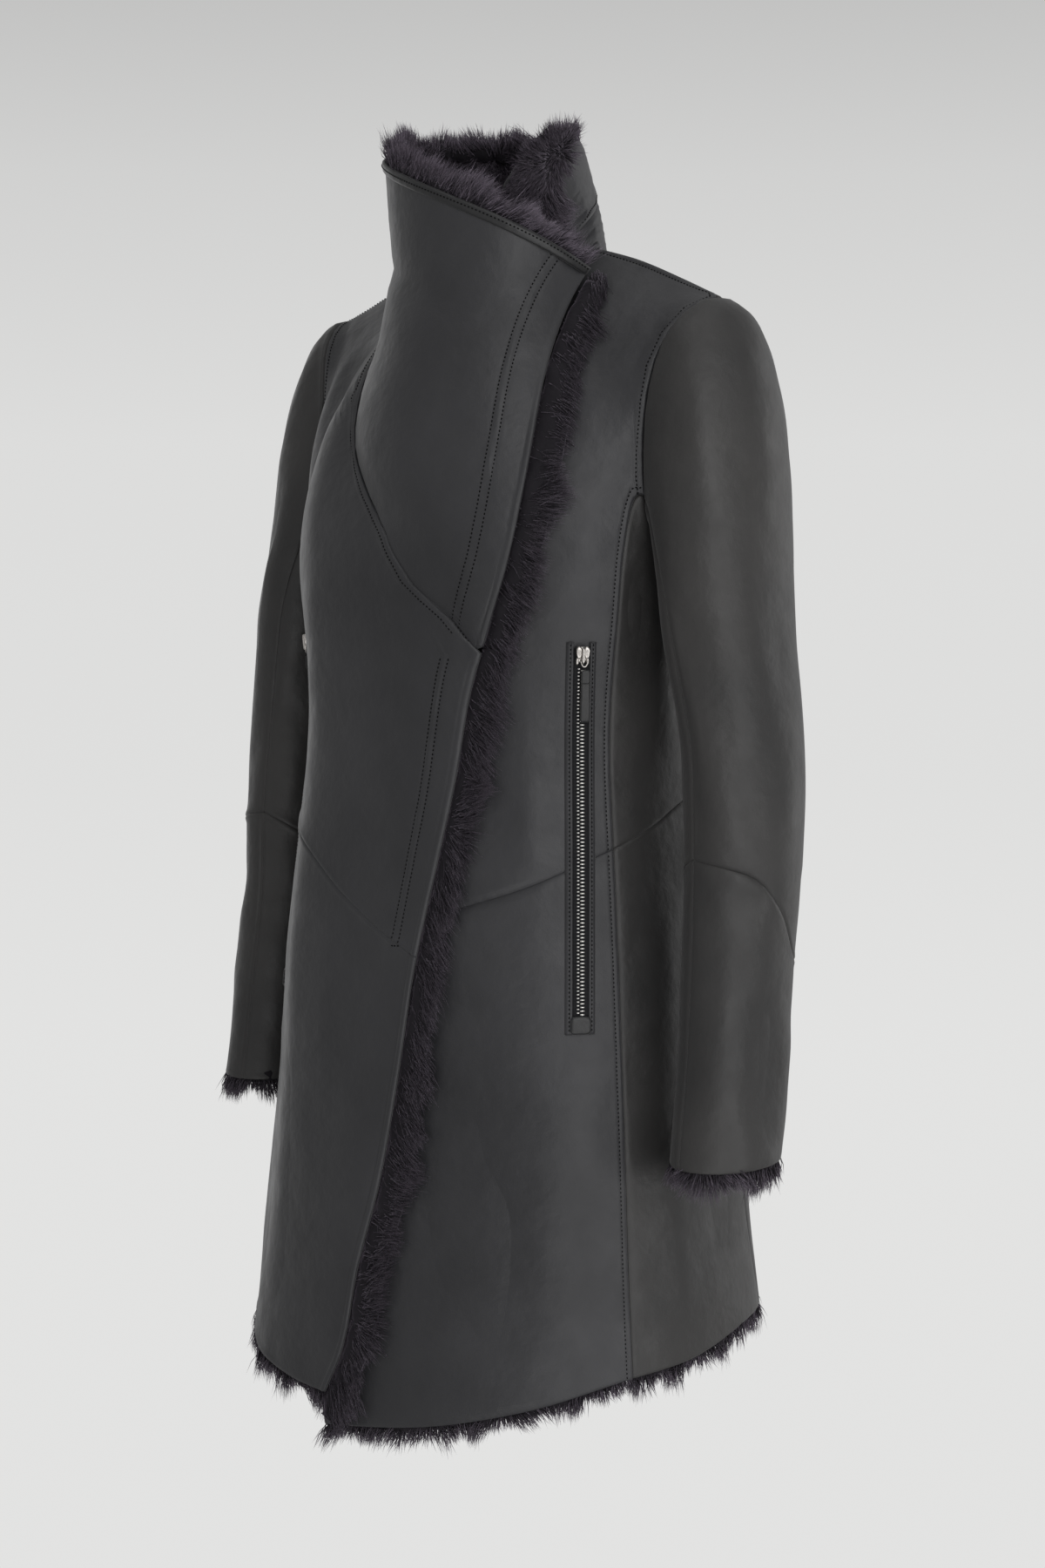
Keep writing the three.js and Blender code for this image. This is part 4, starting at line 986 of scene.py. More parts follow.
collar_skins()
sleeve_skins()
print("all skins:", len(SKINS), "pieces,", DRAWN["triangles"], "triangles")

# %% [markdown]
# Wool is thousands of fine hairs that stand in pointed tufts, dark at the root and mauve-grey at the tip.
# A hair system would not survive export, so each hair is a slim three-sided cone, bent once or twice, and
# all the hairs of a band are one mesh. Their tips lean towards the tip of the nearest tuft.

# %% Wool material
def wool_material(name, root, tip):
    """Wool: each point carries how far up its hair it is, and a shade of its own, which on the bands' hairs also holds
    painted light or painted shade.
    """
    material, tree, shader = new_material(
        name, root, 0.85, Specular_IOR_Level=0.25, Sheen_Weight=0.35, Sheen_Roughness=0.4
    )
    shader.inputs["Sheen Tint"].default_value = (0.62, 0.55, 0.66, 1)
    rise = add_node(tree, "ShaderNodeAttribute", {"attribute_name": "rise"}).outputs["Fac"]
    shade = add_node(tree, "ShaderNodeAttribute", {"attribute_name": "shade"}).outputs["Fac"]
    both = add_node(tree, "ShaderNodeMath", {"operation": "MULTIPLY"})
    tree.links.new(rise, both.inputs[0])
    tree.links.new(shade, both.inputs[1])
    tree.links.new(two_colors(tree, both.outputs[0], root, tip, 0.1, 1.0), shader.inputs["Base Color"])
    clumps = add_node(tree, "ShaderNodeTexNoise", Vector=object_place(tree), Scale=320, Detail=3)
    bump = add_node(tree, "ShaderNodeBump", Height=clumps.outputs["Fac"], Strength=0.5, Distance=0.0012)
    tree.links.new(bump.outputs["Normal"], shader.inputs["Normal"])
    return material


WOOL = wool_material("shearling_wool", (0.0075, 0.0062, 0.0085), (0.15, 0.126, 0.158))


def strands(roots, heading, length, seed, width=0.55, rings=3, tuft=26, pull=0.62, stray=0.22):
    """Tapered hairs. A hair's axis is root + heading s L + lean s^2 L, and lean draws it to its tuft's tip."""
    dice = np.random.default_rng(seed)
    count = len(roots)
    heading = unit(heading + dice.normal(0, stray, (count, 3)))
    tips = roots + heading * length[:, None]
    centres = dice.choice(count, max(1, count // tuft), replace=False)
    nearest = np.empty(count, int)
    for chunk in np.array_split(np.arange(count), max(1, count // 2000)):
        gaps = ((roots[chunk, None] - roots[None, centres]) ** 2).sum(-1)
        nearest[chunk] = gaps.argmin(1)
    lean = (tips[centres][nearest] - tips) * pull * dice.uniform(0.5, 1.1, (count, 1))
    stretch = dice.uniform(0.8, 1.12, len(centres))[nearest][:, None]
    aside = unit(np.cross(heading, dice.normal(size=(count, 3))))
    other = np.cross(heading, aside)
    s = np.linspace(0, 1, rings + 1)
    curl = dice.uniform(-0.12, 0.12, (count, 1)) * length[:, None]
    round_it = np.radians([0, 120, 240])
    spread = aside[:, None] * np.cos(round_it)[None, :, None] + other[:, None] * np.sin(round_it)[None, :, None]
    loops, rise = [], []
    for share in s[:-1]:
        axis = roots + heading * (length[:, None] * share * stretch) + lean * share**2
        axis = axis + aside * curl * np.sin(share * 3.1)
        radius = width * (1 - share) ** 0.7 * dice.uniform(0.8, 1.2, (count, 1, 1))
        loops.append(axis[:, None] + spread * radius)
        rise.append(np.full((count, 3), share))
    tip = (roots + heading * length[:, None] * stretch + lean)[:, None]
    points = np.concatenate(loops + [tip], axis=1)
    rise = np.concatenate(rise + [np.ones((count, 1))], axis=1)
    each = 3 * rings + 1
    offset = (np.arange(count) * each)[:, None, None]
    sides = grid_faces(rings, 3, around=True)[None] + offset
    k = np.arange(3)
    base = 3 * (rings - 1)
    ends = np.stack([base + k, base + (k + 1) % 3, np.full(3, each - 1)], -1)[None] + offset
    foot = np.array([[0, 2, 1]])[None] + offset
    faces = [sides.reshape(-1, 4), ends.reshape(-1, 3), foot.reshape(-1, 3)]
    shade = np.repeat(dice.uniform(0.25, 1.0, count), each)
    return (points.reshape(-1, 3), faces), rise.ravel(), shade


def add_wool(name, node, base, hairs, base_shade=0.25):
    """A wool piece: its soft base and all its hairs in one mesh."""
    parts = [facing_out(base)] + [h[0] for h in hairs]
    rise = np.concatenate([np.full(len(base[0]), 0.35)] + [h[1] for h in hairs])
    shade = np.concatenate([np.full(len(base[0]), base_shade)] + [h[2] for h in hairs])
    nodes = [node] if node else []
    return add_piece(name, parts, WOOL, nodes, {"rise": rise, "shade": shade})


print("wool material made")

# %% [markdown]
# Every band of wool is described by a line on the coat's edge with two directions: past the edge, and out
# from the face. The base is a soft roll carried along the line, and hairs root at random places in it.

# %% Bands of wool
HAIR = 1.0


def roll_section(corners, count=14):
    """A closed loop drawn with a few corners, resampled and softened."""
    corners = np.array(corners, float)
    t = np.linspace(0, len(corners), count, endpoint=False)
    i = t.astype(int)
    share = (t - i)[:, None]
    loop = mix(corners[i], corners[(i + 1) % len(corners)], share)
    return (np.roll(loop, 1, 0) + 2 * loop + np.roll(loop, -1, 0)) / 4


def band_base(line, past, out, section, seed, ring=False, lump=0.9):
    """The section carried along the line and made lumpy."""
    loop = roll_section(section)
    points = line[:, None] + past[:, None] * loop[None, :, :1] + out[:, None] * loop[None, :, 1:]
    middle = points.mean(1, keepdims=True)
    points = points + unit(points - middle) * (lump * ripple(points, 9, seed))[..., None]
    return tube(points, ring)


def band_hairs(line, past, out, spec, seed, ring=False):
    """Hairs rooted along the line. spec names how many, where they root, where they head and how long, and its light
    factor scales the hairs' shade as painted light or painted shade.
    """
    dice = np.random.default_rng(seed)
    gaps = np.linalg.norm(np.diff(line, axis=0), axis=-1)
    run = np.concatenate([[0], np.cumsum(gaps)])
    count = int(run[-1] * spec["per_mm"] * HAIR)
    place = dice.uniform(0, run[-1], count)
    pick = [np.stack([np.interp(place, run, v[:, k]) for k in range(3)], -1) for v in (line, past, out)]
    here, past_here, out_here = pick
    depth, rise = dice.uniform(*spec["out"], count)[:, None], dice.uniform(*spec["past"], count)[:, None]
    roots = here + past_here * rise + out_here * depth
    along_way = unit(np.cross(past_here, out_here))
    wave = ripple(roots, spec.get("swirl", 45), seed + 1)[:, None]
    splay = (depth - np.mean(spec["out"])) / max(np.ptp(spec["out"]), 1)
    heading = past_here * spec["ahead"] + out_here * (spec["lift"] + spec.get("splay", 0.6) * splay)
    heading = heading + along_way * (spec.get("sweep", 0) + spec.get("wave", 0.35) * wave)
    heading = heading + np.array([0, 0, -spec.get("droop", 0)])
    uneven = 1 + 0.22 * ripple(roots, 22, seed + 2)
    length = dice.uniform(*spec["length"], count) * np.clip(uneven, 0.55, 1.4)
    hairs, rise, shade = strands(
        roots, unit(heading), length, seed + 3, spec.get("width", 0.55), spec.get("rings", 2),
        spec.get("tuft", 26), spec.get("pull", 0.62), spec.get("stray", 0.22),
    )
    # Times the band's light factor: painted light above 1, painted shade below 1, on one and the same wool.
    return hairs, rise, shade * spec.get("light", 1.0)


def hem_line(place, hem, start, end, count):
    """The hem's line between two seams, with the way down past it and the way out."""
    share = np.linspace(0, 1, count)
    angle = mix(start(-800.0), end(-800.0), share)
    for _ in range(5):
        angle = mix(start(hem(angle)), end(hem(angle)), share)
    height = hem(angle)
    point = place(angle, height)
    down = unit(place(angle, height - 10) - point)
    aside = unit(np.gradient(point, axis=0))
    return point, down, unit(np.cross(down, aside))


HEM_SECTION = [(-8, -2.2), (-8, -11), (0, -11.5), (3.5, -9), (4, -4), (0, -2)]
# The hem hairs' light of 1.35 is painted light: the same wool drawn lighter.
HEM_HAIR = {
    "per_mm": 9, "out": (-11, -1.8), "past": (-4, 3), "ahead": 1.0, "lift": 0.0, "splay": 0.35,
    "length": (12, 19), "wave": 0.35, "sweep": -0.15, "rings": 2, "width": 0.4, "stray": 0.17, "tuft": 26,
    "pull": 0.38, "light": 1.35,
}


def hem_wool():
    """Five bands below the hem, one to each lower piece."""
    end = lambda height: 360 - side_back(height)
    bands = [
        ("wool_hem_front_right", on_right, hem_right, mirrored(princess), front_edge, 90),
        ("wool_hem_front_left", on_body, hem_left, under_edge, princess, 100),
        ("wool_hem_side_left", on_body, hem_left, princess, side_back, 44),
        ("wool_hem_side_right", on_body, hem_right, mirrored(side_back), mirrored(princess), 44),
        ("wool_hem_back", on_body, behind(HEM_LEFT), side_back, end, 140),
    ]
    for seed, (node, place, hem, start, stop, count) in enumerate(bands):
        line, down, out = hem_line(place, hem, start, stop, count)
        base = band_base(line, down, out, HEM_SECTION, 20 + seed)
        add_wool("fur_" + node[5:], node, base, [band_hairs(line, down, out, HEM_HAIR, 30 + seed * 5)])


hem_wool()
print("hem wool made,", DRAWN["triangles"], "triangles so far")

# %% [markdown]
# At the front edge the wool of the right front turns outward and shows as a band a finger wide, lying on
# the left front. At the cuffs it peeps out all round the sleeve's end.

# %% Front edge and cuffs
EDGE_TOP = -42
EDGE_HAIR_TOP = -30
EDGE_REACH = [
    (-826, 22), (-700, 24), (-560, 20), (-480, 16), (-400, 16), (-300, 21), (-200, 25), (-100, 25), (EDGE_TOP, 16),
]
# The front edge hairs' light of 0.58 is painted shade: the same wool drawn darker.
EDGE_HAIR = {
    "per_mm": 16, "out": (2, 10), "past": (-2, 13), "ahead": 0.9, "lift": 0.02, "splay": 0.3,
    "length": (14, 24), "wave": 0.45, "sweep": 0.0, "swirl": 60, "droop": 0.55, "rings": 2, "width": 0.4,
    "stray": 0.18, "tuft": 28, "pull": 0.35, "light": 0.58,
}
CUFF_SECTION = [(-8, -2.2), (-8, -9), (0, -9.5), (3.5, -7), (4, -3), (1, -1.8)]
# The cuff hairs' light of 1.1 is painted light: the same wool drawn a little lighter.
CUFF_HAIR = {
    "per_mm": 10, "out": (-9, -1.4), "past": (-4, 4), "ahead": 1.0, "lift": 0.05, "splay": 0.4,
    "length": (13, 20), "wave": 0.35, "rings": 2, "width": 0.42, "stray": 0.17, "tuft": 26, "pull": 0.38,
    "light": 1.1,
}


def edge_wool():
    """Three stretches along the front edge."""
    stretches = [("wool_edge_lower", -826, -497, 100), ("wool_edge_middle", -497, -279, 70),
                 ("wool_edge_lapel", -279, EDGE_TOP, 76)]
    for seed, (node, low, high, count) in enumerate(stretches):
        height = np.linspace(low, high, count)
        angle = front_edge(height)
        line = on_body(angle, height)
        past = unit(on_body(angle + 1, height) - line)
        out = outward(face, angle, height, 0.4, 1.5, 0)
        reach = read(EDGE_REACH, height)[:, None]
        shape = roll_section([(-0.1, 1.5), (-0.1, 10.5), (0.35, 10.5), (0.68, 7), (0.8, 3.5), (0.6, 1.2)])
        points = line[:, None] + past[:, None] * shape[None, :, :1] * reach[:, None] + out[:, None] * shape[None, :, 1:]
        points = points + out[:, None] * (0.8 * ripple(points, 11, 50 + seed))[..., None]
        if high == EDGE_TOP:
            height = np.linspace(low, EDGE_HAIR_TOP, count)
            angle = front_edge(height)
            line = on_body(angle, height)
            reach = read(EDGE_REACH, np.minimum(height, EDGE_TOP))[:, None]
        hairs = band_hairs(line, past * reach / 24, out, EDGE_HAIR, 60 + seed * 5)
        add_wool("fur_" + node[5:], node, tube(points), [hairs])


def cuff_wool():
    """A ring of wool at each cuff."""
    for side, name in ((1, "left"), (-1, "right")):
        column = np.linspace(0, 10, 61)
        line = sleeve_face(column, 2.0, side)
        down = np.tile([0.0, 0.0, -1.0], (len(line), 1))
        middle = line.mean(0)
        out = unit((line - middle) * [1, 1, 0])
        base = band_base(line[:-1], down[:-1], out[:-1], CUFF_SECTION, 80, ring=True)
        hairs = band_hairs(line, down, out, CUFF_HAIR, 84 + side)
        add_wool(f"fur_cuff_{name}", f"wool_cuff_{name}", base, [hairs])


edge_wool()
cuff_wool()
print("edge and cuff wool made,", DRAWN["triangles"], "triangles so far")

# %% [markdown]
# Round the neck the wool is longest. It stands above the collar and the lapel, rolls out over the left
# collar's front, and covers the inside of the collar where the open neck shows it.

# %% Collar wool
RIM_SECTION = [(-8, -12), (-4, -2.2), (2, -1), (7, -2), (9, -6), (4, -12.5)]
# The light of 1.6 is painted light on the collar's and lapel's rim hairs: the same wool drawn lighter.
RIM_HAIR = {
    "per_mm": 19, "out": (-12, -1.5), "past": (-3, 4), "ahead": 1.0, "lift": -0.05, "splay": 0.45,
    "length": (9, 18), "wave": 0.45, "rings": 2, "width": 0.4, "stray": 0.2, "tuft": 22, "pull": 0.32,
    "light": 1.6,
}


# share of the collar's height, angles where the roll of wool starts and ends
ROLL = [
    (0.04, 44, 77), (0.2, 45, 77), (0.36, 47, 75), (0.52, 50, 76), (0.68, 54, 81), (0.84, 63, 90),
    (0.96, 77, 97), (1.03, 87, 101),
]


def collar_wool():
    """Rim of the collar and rim of the lapel."""
    angle = np.linspace(99, COLLAR_END, 90)
    line = collar_face(angle, 1.0)
    up = unit(line - collar_face(angle, 0.9))
    out = collar_out(angle, np.full(angle.shape, 1.0))
    base = band_base(line, up, out, RIM_SECTION, 90)
    add_wool("fur_collar_rim", "wool_collar_rim", base, [band_hairs(line, up, out, RIM_HAIR, 91)])

    share = np.linspace(0.01, 0.985, 90)
    top = np.full(share.shape, float(LAPEL_TOP))
    line = lapel_face(share, top)
    up = unit(line - lapel_face(share, top - 1))
    out = outward(lapel_face, np.clip(share, 0.02, 0.98), top, 0.02, 0.5, LAPEL_TOP)
    tall = mix(1.6, 1.0, share)[:, None]
    base = band_base(line, up * tall, out, [(-8, -11), (-4, -3), (0, -2.4), (3, -3), (4, -7), (1, -11.5)], 95)
    spec = {**RIM_HAIR, "per_mm": 26, "out": (-12, -2.5), "past": (-4, 4), "length": (13, 21), "sweep": 0.3}
    add_wool("fur_lapel_rim", "wool_lapel_rim", base, [band_hairs(line, up * tall, out, spec, 96)])


def collar_roll():
    """The thick roll on the left collar's front: a domed grid with hairs that sweep down and forward."""
    share = np.linspace(0.04, 1.02, 44)[:, None]
    t = np.linspace(0, 1, 18)[None, :]
    start, end = np.moveaxis(along(ROLL, share), -1, 0)
    angle = mix(start, end, t)
    foot = collar_face(angle, share)
    out = collar_out(angle, np.minimum(share, 1) + 0 * angle)
    depth = 8 * np.sqrt(np.maximum(0, 1 - 0.85 * (2 * t - 1) ** 2)) + 0 * share
    dome = foot + out * (depth + 0.9 * ripple(foot, 12, 101))[..., None]
    base = shell(dome, foot + out * 0.5)
    dice = np.random.default_rng(103)
    count = int(6000 * HAIR)
    r, c = dice.integers(0, dome.shape[0] - 1, count), dice.integers(0, dome.shape[1] - 1, count)
    shift = dice.uniform(0, 1, (count, 2))
    roots = dome[r, c] + (dome[r + 1, c] - dome[r, c]) * shift[:, :1] + (dome[r, c + 1] - dome[r, c]) * shift[:, 1:]
    roots = roots - out[r, c] * dice.uniform(0, 3, (count, 1))
    forward = unit(foot[r, c] - foot[r, c + 1])
    high = smooth((r / dome.shape[0] - 0.72) / 0.2)[:, None]
    wave = ripple(roots, 50, 104)[:, None]
    heading = out[r, c] * 0.35 + forward * (0.7 + 0.3 * wave) + np.array([0, 0, 1]) * (-0.25 - 0.4 * wave + 1.1 * high)
    length = dice.uniform(13, 22, count) * np.clip(1 + 0.22 * ripple(roots, 20, 105), 0.6, 1.4)
    foot_way = unit(foot[r, c + 1] - foot[r, c])
    heading = heading + foot_way * 1.5 * smooth((c / dome.shape[1] - 0.55) / 0.35)[:, None]
    hairs = strands(roots, unit(heading), length * mix(1, 0.7, high[:, 0]), 106, 0.42, 2, 26, 0.35, 0.18)
    low_part = share[r, 0] < 0.42
    sweep = unit(foot_way * 0.8 + out[r, c] * 0.45 + np.array([0, 0, -0.5]))[low_part]
    low_hairs = strands(roots[low_part], sweep, length[low_part], 108, 0.42, 2, 26, 0.35, 0.18)
    add_wool("fur_collar_roll", "wool_collar_roll", base, [hairs, low_hairs])


collar_wool()
collar_roll()
print("collar wool made,", DRAWN["triangles"], "triangles so far")

# %% [markdown]
# Inside, the shearling's wool lines every piece. It shows through the neck, below the hem and up the
# cuffs, so each skin gets a clumpy wool layer behind it, on a coarse grid.

# %% Wool inside the coat
LINING_STEP = 13.0
LINING_DROP = -120.0
LINING_STEPS = np.array([0.8, 3.0, 8.0])
LINING_FRONT = 4.6
LINING_BACK = 7.2


def lining_of(points, seed):
    """A wool layer behind a grid of the outer face: deep enough for the skin's troughs, lumpy inside."""
    out = grid_out(points)
    lumps = 1.0 * ripple(points, 13, seed) + 0.7 * ripple(points, 30, seed + 1)
    return shell(points - out * LINING_FRONT, points - out * (LINING_BACK + np.clip(lumps, -1.6, 1.8))[..., None])


def coarse(length):
    """Few shares, for a surface that is only seen through an opening."""
    return shares_of(length, LINING_STEPS, LINING_STEPS, LINING_STEP)


def lining_top(angle):
    """Top of the body's lining: it stops short of the armholes, where the coarse grid would cut the corner."""
    size = np.where(np.abs(angle) > 180, 360 - np.abs(angle), np.abs(angle))
    return LINING_DROP * smooth((size - 38) / 14) * smooth((142 - size) / 14)


def add_lining():
    """Three pieces of lining: body, collar and sleeves."""
    back_end = lambda height: 360 - side_back(height)
    left = panel(on_body, hem_left, lining_top, under_edge, side_back, coarse(420), coarse(780))
    side = panel(on_body, hem_right, lining_top, mirrored(side_back), mirrored(princess), coarse(120), coarse(750))
    level_top = lambda angle: np.full_like(angle, LINING_DROP)
    right = panel(on_right, hem_right, level_top, mirrored(princess), right_front_end, coarse(270), coarse(660))
    back = panel(on_body, behind(HEM_LEFT), lining_top, side_back, back_end, coarse(430), coarse(760))
    grids = [left, side, right, back]
    share = mix(0.006, 1, coarse(85))[:, None]
    collar = collar_face(mix(read(COLLAR_FRONT, share), COLLAR_END, coarse(330)[None, :]), share)
    lapel = lapel_face(coarse(215)[None, :], coarse(330)[:, None] * LAPEL_TOP)
    sleeves = []
    for side in (1, -1):
        for first, last, width in ((0, 6, 140), (6, 10, 110)):
            points = sleeve_face(mix(first, last, coarse(width)[None, :]), mix(2, 0.5, coarse(480)[:, None]), side)
            sleeves.append(points if side > 0 else points[:, ::-1])
    for name, kind in (("body", grids), ("collar", [collar, lapel]), ("sleeves", sleeves)):
        parts = [lining_of(points, 120 + 2 * k) for k, points in enumerate(kind)]
        total = sum(len(p[0]) for p in parts)
        dice = np.random.default_rng(140)
        values = {"rise": np.full(total, 0.5), "shade": dice.uniform(0.2, 0.7, total)}
        add_piece("wool_inside_" + name, parts, WOOL, (), values)


add_lining()
print("lining made,", DRAWN["triangles"], "triangles so far")

# %% [markdown]
# The open neck shows the inside of the collar and the lapel, so these two get real hairs over the lining.
# Elsewhere the lining's lumps are enough, because only a narrow strip of it is ever seen.

# %% Hairs inside the collar and the lapel
def surface_hairs(place, out, up, count, seed, length, rise=0.5, width=0.55):
    """Hairs on a surface given at random places: they head inward, upward, and sway together."""
    dice = np.random.default_rng(seed)
    roots = place - out * (WALL - 1.5)
    wave = ripple(roots, 45, seed + 1)[:, None]
    aside = unit(np.cross(out, up))
    heading = -out * 0.75 + up * rise + aside * 0.5 * wave
    lengths = dice.uniform(*length, count) * np.clip(1 + 0.2 * ripple(roots, 24, seed + 2), 0.6, 1.4)
    return strands(roots, unit(heading), lengths, seed + 3, width, 2)


def inner_wool():
    """Hairs on the inside of the collar and the lapel."""
    dice = np.random.default_rng(150)
    count = int(4500 * HAIR)
    angle, share = dice.uniform(70, COLLAR_END, count), dice.uniform(0.15, 1, count) ** 0.8
    place = collar_face(angle, share)
    up = unit(collar_face(angle, np.minimum(share + 0.05, 1.05)) - place)
    collar = surface_hairs(place, collar_out(angle, share), up, count, 151, (10, 17), 0.5, 0.5)
    count = int(3200 * HAIR)
    t, row = dice.uniform(0.02, 0.98, count), dice.uniform(10.5, LAPEL_TOP, count)
    place = lapel_face(t, row)
    out = outward(lapel_face, np.clip(t, 0.02, 0.98), row, 0.02, 0.5, LAPEL_TOP)
    up = unit(lapel_face(t, np.minimum(row + 0.5, LAPEL_TOP + 0.4)) - place + np.array([0, 0, 1e-3]))
    lapel = surface_hairs(place, out, up, count, 155, (10, 17), 0.7, 0.5)
    parts = [collar, lapel]
    values = {"rise": np.concatenate([h[1] for h in parts]), "shade": np.concatenate([h[2] for h in parts])}
    add_piece("fur_inside_collar", [h[0] for h in parts], WOOL, (), values)


inner_wool()
print("inner wool made,", DRAWN["triangles"], "triangles so far")

# %% [markdown]
# Topstitching is what makes a seam look sewn. A stitch is a short, thick thread that dips at both ends.
# Each row is read off the finished skin at a fixed distance from a border, so it follows every fold.

# %% Stitches
STITCH_PITCH = 2.9
STITCH_LENGTH = 2.0
STITCH_RADIUS = 0.5
THREAD, _, _ = new_material("thread", (0.002, 0.002, 0.0022), 0.8, Specular_IOR_Level=0.15)


def row_on_skin(node, border, distance, low=-1e9, high=1e9):
    """Line on a finished skin where its distance to a border has a given value, one point a row."""
    skin = SKINS[node]
    points, out, away = skin["points"], skin["out"], skin["away"][border]
    if border in ("low", "high"):
        points, out, away = points.transpose(1, 0, 2), out.transpose(1, 0, 2), away.T
    if border in ("right", "high"):
        points, out, away = points[:, ::-1], out[:, ::-1], away[:, ::-1]
    wanted = np.broadcast_to(np.asarray(distance, float), (len(points),))
    i = np.clip((away < wanted[:, None]).sum(1), 1, away.shape[1] - 1)
    r = np.arange(len(points))
    t = np.clip((wanted - away[r, i - 1]) / (away[r, i] - away[r, i - 1]), 0, 1)[:, None]
    line, way = mix(points[r, i - 1], points[r, i], t), unit(mix(out[r, i - 1], out[r, i], t))
    keep = (line[:, 2] > low) & (line[:, 2] < high)
    return line[keep], way[keep]


def stitch_parts(line, way, inset=2.0):
    """Slim spindles set along a line: a tail, two squares and a head, lying on the skin."""
    run = np.concatenate([[0], np.cumsum(np.linalg.norm(np.diff(line, axis=0), axis=-1))])
    place = np.arange(inset, run[-1] - inset, STITCH_PITCH)
    at = lambda values, where: np.stack([np.interp(where, run, values[:, k]) for k in range(3)], -1)
    middle, out = at(line, place), unit(at(way, place))
    ahead = unit(at(line, place + 0.6) - at(line, place - 0.6))
    aside = np.cross(ahead, out)
    half = STITCH_LENGTH / 2
    middle = middle + out * 0.12
    corners = [aside, out, -aside, -out]
    spots = [middle - ahead * half - out * 0.35]
    for end in (-0.5, 0.5):
        spots += [middle + ahead * half * end + c * STITCH_RADIUS for c in corners]
    spots.append(middle + ahead * half - out * 0.35)
    points = np.stack(spots, 1)
    each = points.shape[1]
    offset = (np.arange(len(points)) * each)[:, None, None]
    k = np.arange(4)
    after = (k + 1) % 4
    tail = np.stack([np.zeros(4, int), 1 + k, 1 + after], -1)
    sides = np.stack([1 + k, 5 + k, 5 + after, 1 + after], -1)
    head = np.stack([5 + k, np.full(4, 9), 5 + after], -1)
    faces = [(f[None] + offset).reshape(-1, f.shape[1]) for f in (tail, sides, head)]
    return facing_out((points.reshape(-1, 3), faces))


def placket_row(node, extra):
    """One of the placket's two rows on a piece."""
    skin = SKINS[node]
    height = skin["points"][:, -1, 2]
    wanted = read(PLACKET, np.clip(height, -490, -100)) + extra
    return row_on_skin(node, "right", wanted, low=PLACKET_END, high=PLACKET_TOP[node])


def bar_tack():
    """A short bar of stitches that closes the lower end of the placket's two rows."""
    spots = []
    for extra in np.linspace(-1, PLACKET_WIDTH + 1, 9):
        line, way = row_on_skin("front_right_lower", "right", PLACKET[0][1] + extra)
        k = np.abs(line[:, 2] - PLACKET_END).argmin()
        spots.append((line[k], way[k]))
    return np.array([s[0] for s in spots]), np.array([s[1] for s in spots])


def all_stitches():
    """Every visible row, joined in one mesh."""
    rows = [
        row_on_skin("front_right_upper", "right", STITCH_IN, low=-276),
        row_on_skin("front_right_upper", "left", STITCH_IN),
        row_on_skin("front_right_lower", "left", STITCH_IN),
        row_on_skin("front_left_upper", "right", STITCH_IN),
        row_on_skin("front_left_lower", "right", STITCH_IN),
        row_on_skin("front_left_upper", "high", STITCH_IN),
        row_on_skin("front_right_upper", "high", STITCH_IN),
        row_on_skin("collar_left", "right", STITCH_IN),
    ]
    for node in PLACKET_TOP:
        rows += [placket_row(node, 0), placket_row(node, PLACKET_WIDTH)]
    rows = [r for r in rows if len(r[0]) > 3]
    parts = [stitch_parts(*r) for r in rows]
    parts.append(stitch_parts(*bar_tack(), 0.4))
    add_piece("topstitching", parts, THREAD)
    return len(rows)


print("stitch rows:", all_stitches())

# %% [markdown]
# The binding on the lapel's top edge is a narrow strip folded over the raw edge. It is drawn as a slim
# rounded profile carried along the edge, with one row of stitches.

# %% Lapel binding
BAND_WIDTH = 7.0
BAND_PROFILE = [(0.6, -1.2), (0.9, 0.6), (0.2, 1.9), (-1.2, 2.3), (-5.2, 2.1), (-6.6, 1.3), (-6.9, 0.2), (-3, -0.4)]


def carry(profile, line, across, out):
    """A closed profile carried along a line: its first number runs across, its second outward."""
    loop = np.array(profile, float)
    return tube(line[:, None] + across[:, None] * loop[None, :, :1] + out[:, None] * loop[None, :, 1:])


def lapel_binding():
    """The folded strip and its stitches."""
    share = np.linspace(0.002, 0.995, 130)
    top = np.full(share.shape, float(LAPEL_TOP))
    line = lapel_face(share, top)
    out = outward(lapel_face, np.clip(share, 0.02, 0.98), top, 0.02, 0.5, LAPEL_TOP)
    up = unit(line - lapel_face(share, top - 1))
    up = unit(up - out * (up * out).sum(-1, keepdims=True))
    strip = facing_out(carry(BAND_PROFILE, line, up, out))
    add_piece("binding_lapel", [strip], TRIM, ["lapel_band"])
    row = line - up * 2.2 + out * 2.25
    add_piece("stitches_lapel_binding", [stitch_parts(row, out)], THREAD)


lapel_binding()
print("binding made")

# %% [markdown]
# Each pocket is a metal zip set in a long slit. The folded leather on both sides stands a little proud of
# the tape, with a row of stitches outside each fold. The teeth are small bars, set in turn from the left
# and right. The slider rests at the top with a leather pull, and a patch covers the zip's lower end.

# %% Zip materials
METAL, metal_tree, metal_shader = new_material("gunmetal", (0.5, 0.475, 0.45), 0.27, Metallic=1.0)
metal_noise = add_node(metal_tree, "ShaderNodeTexNoise", Vector=object_place(metal_tree), Scale=900, Detail=3)
metal_rough = add_node(metal_tree, "ShaderNodeMapRange", Value=metal_noise.outputs["Fac"])
metal_rough.inputs["To Min"].default_value, metal_rough.inputs["To Max"].default_value = 0.18, 0.4
metal_tree.links.new(metal_rough.outputs["Result"], metal_shader.inputs["Roughness"])

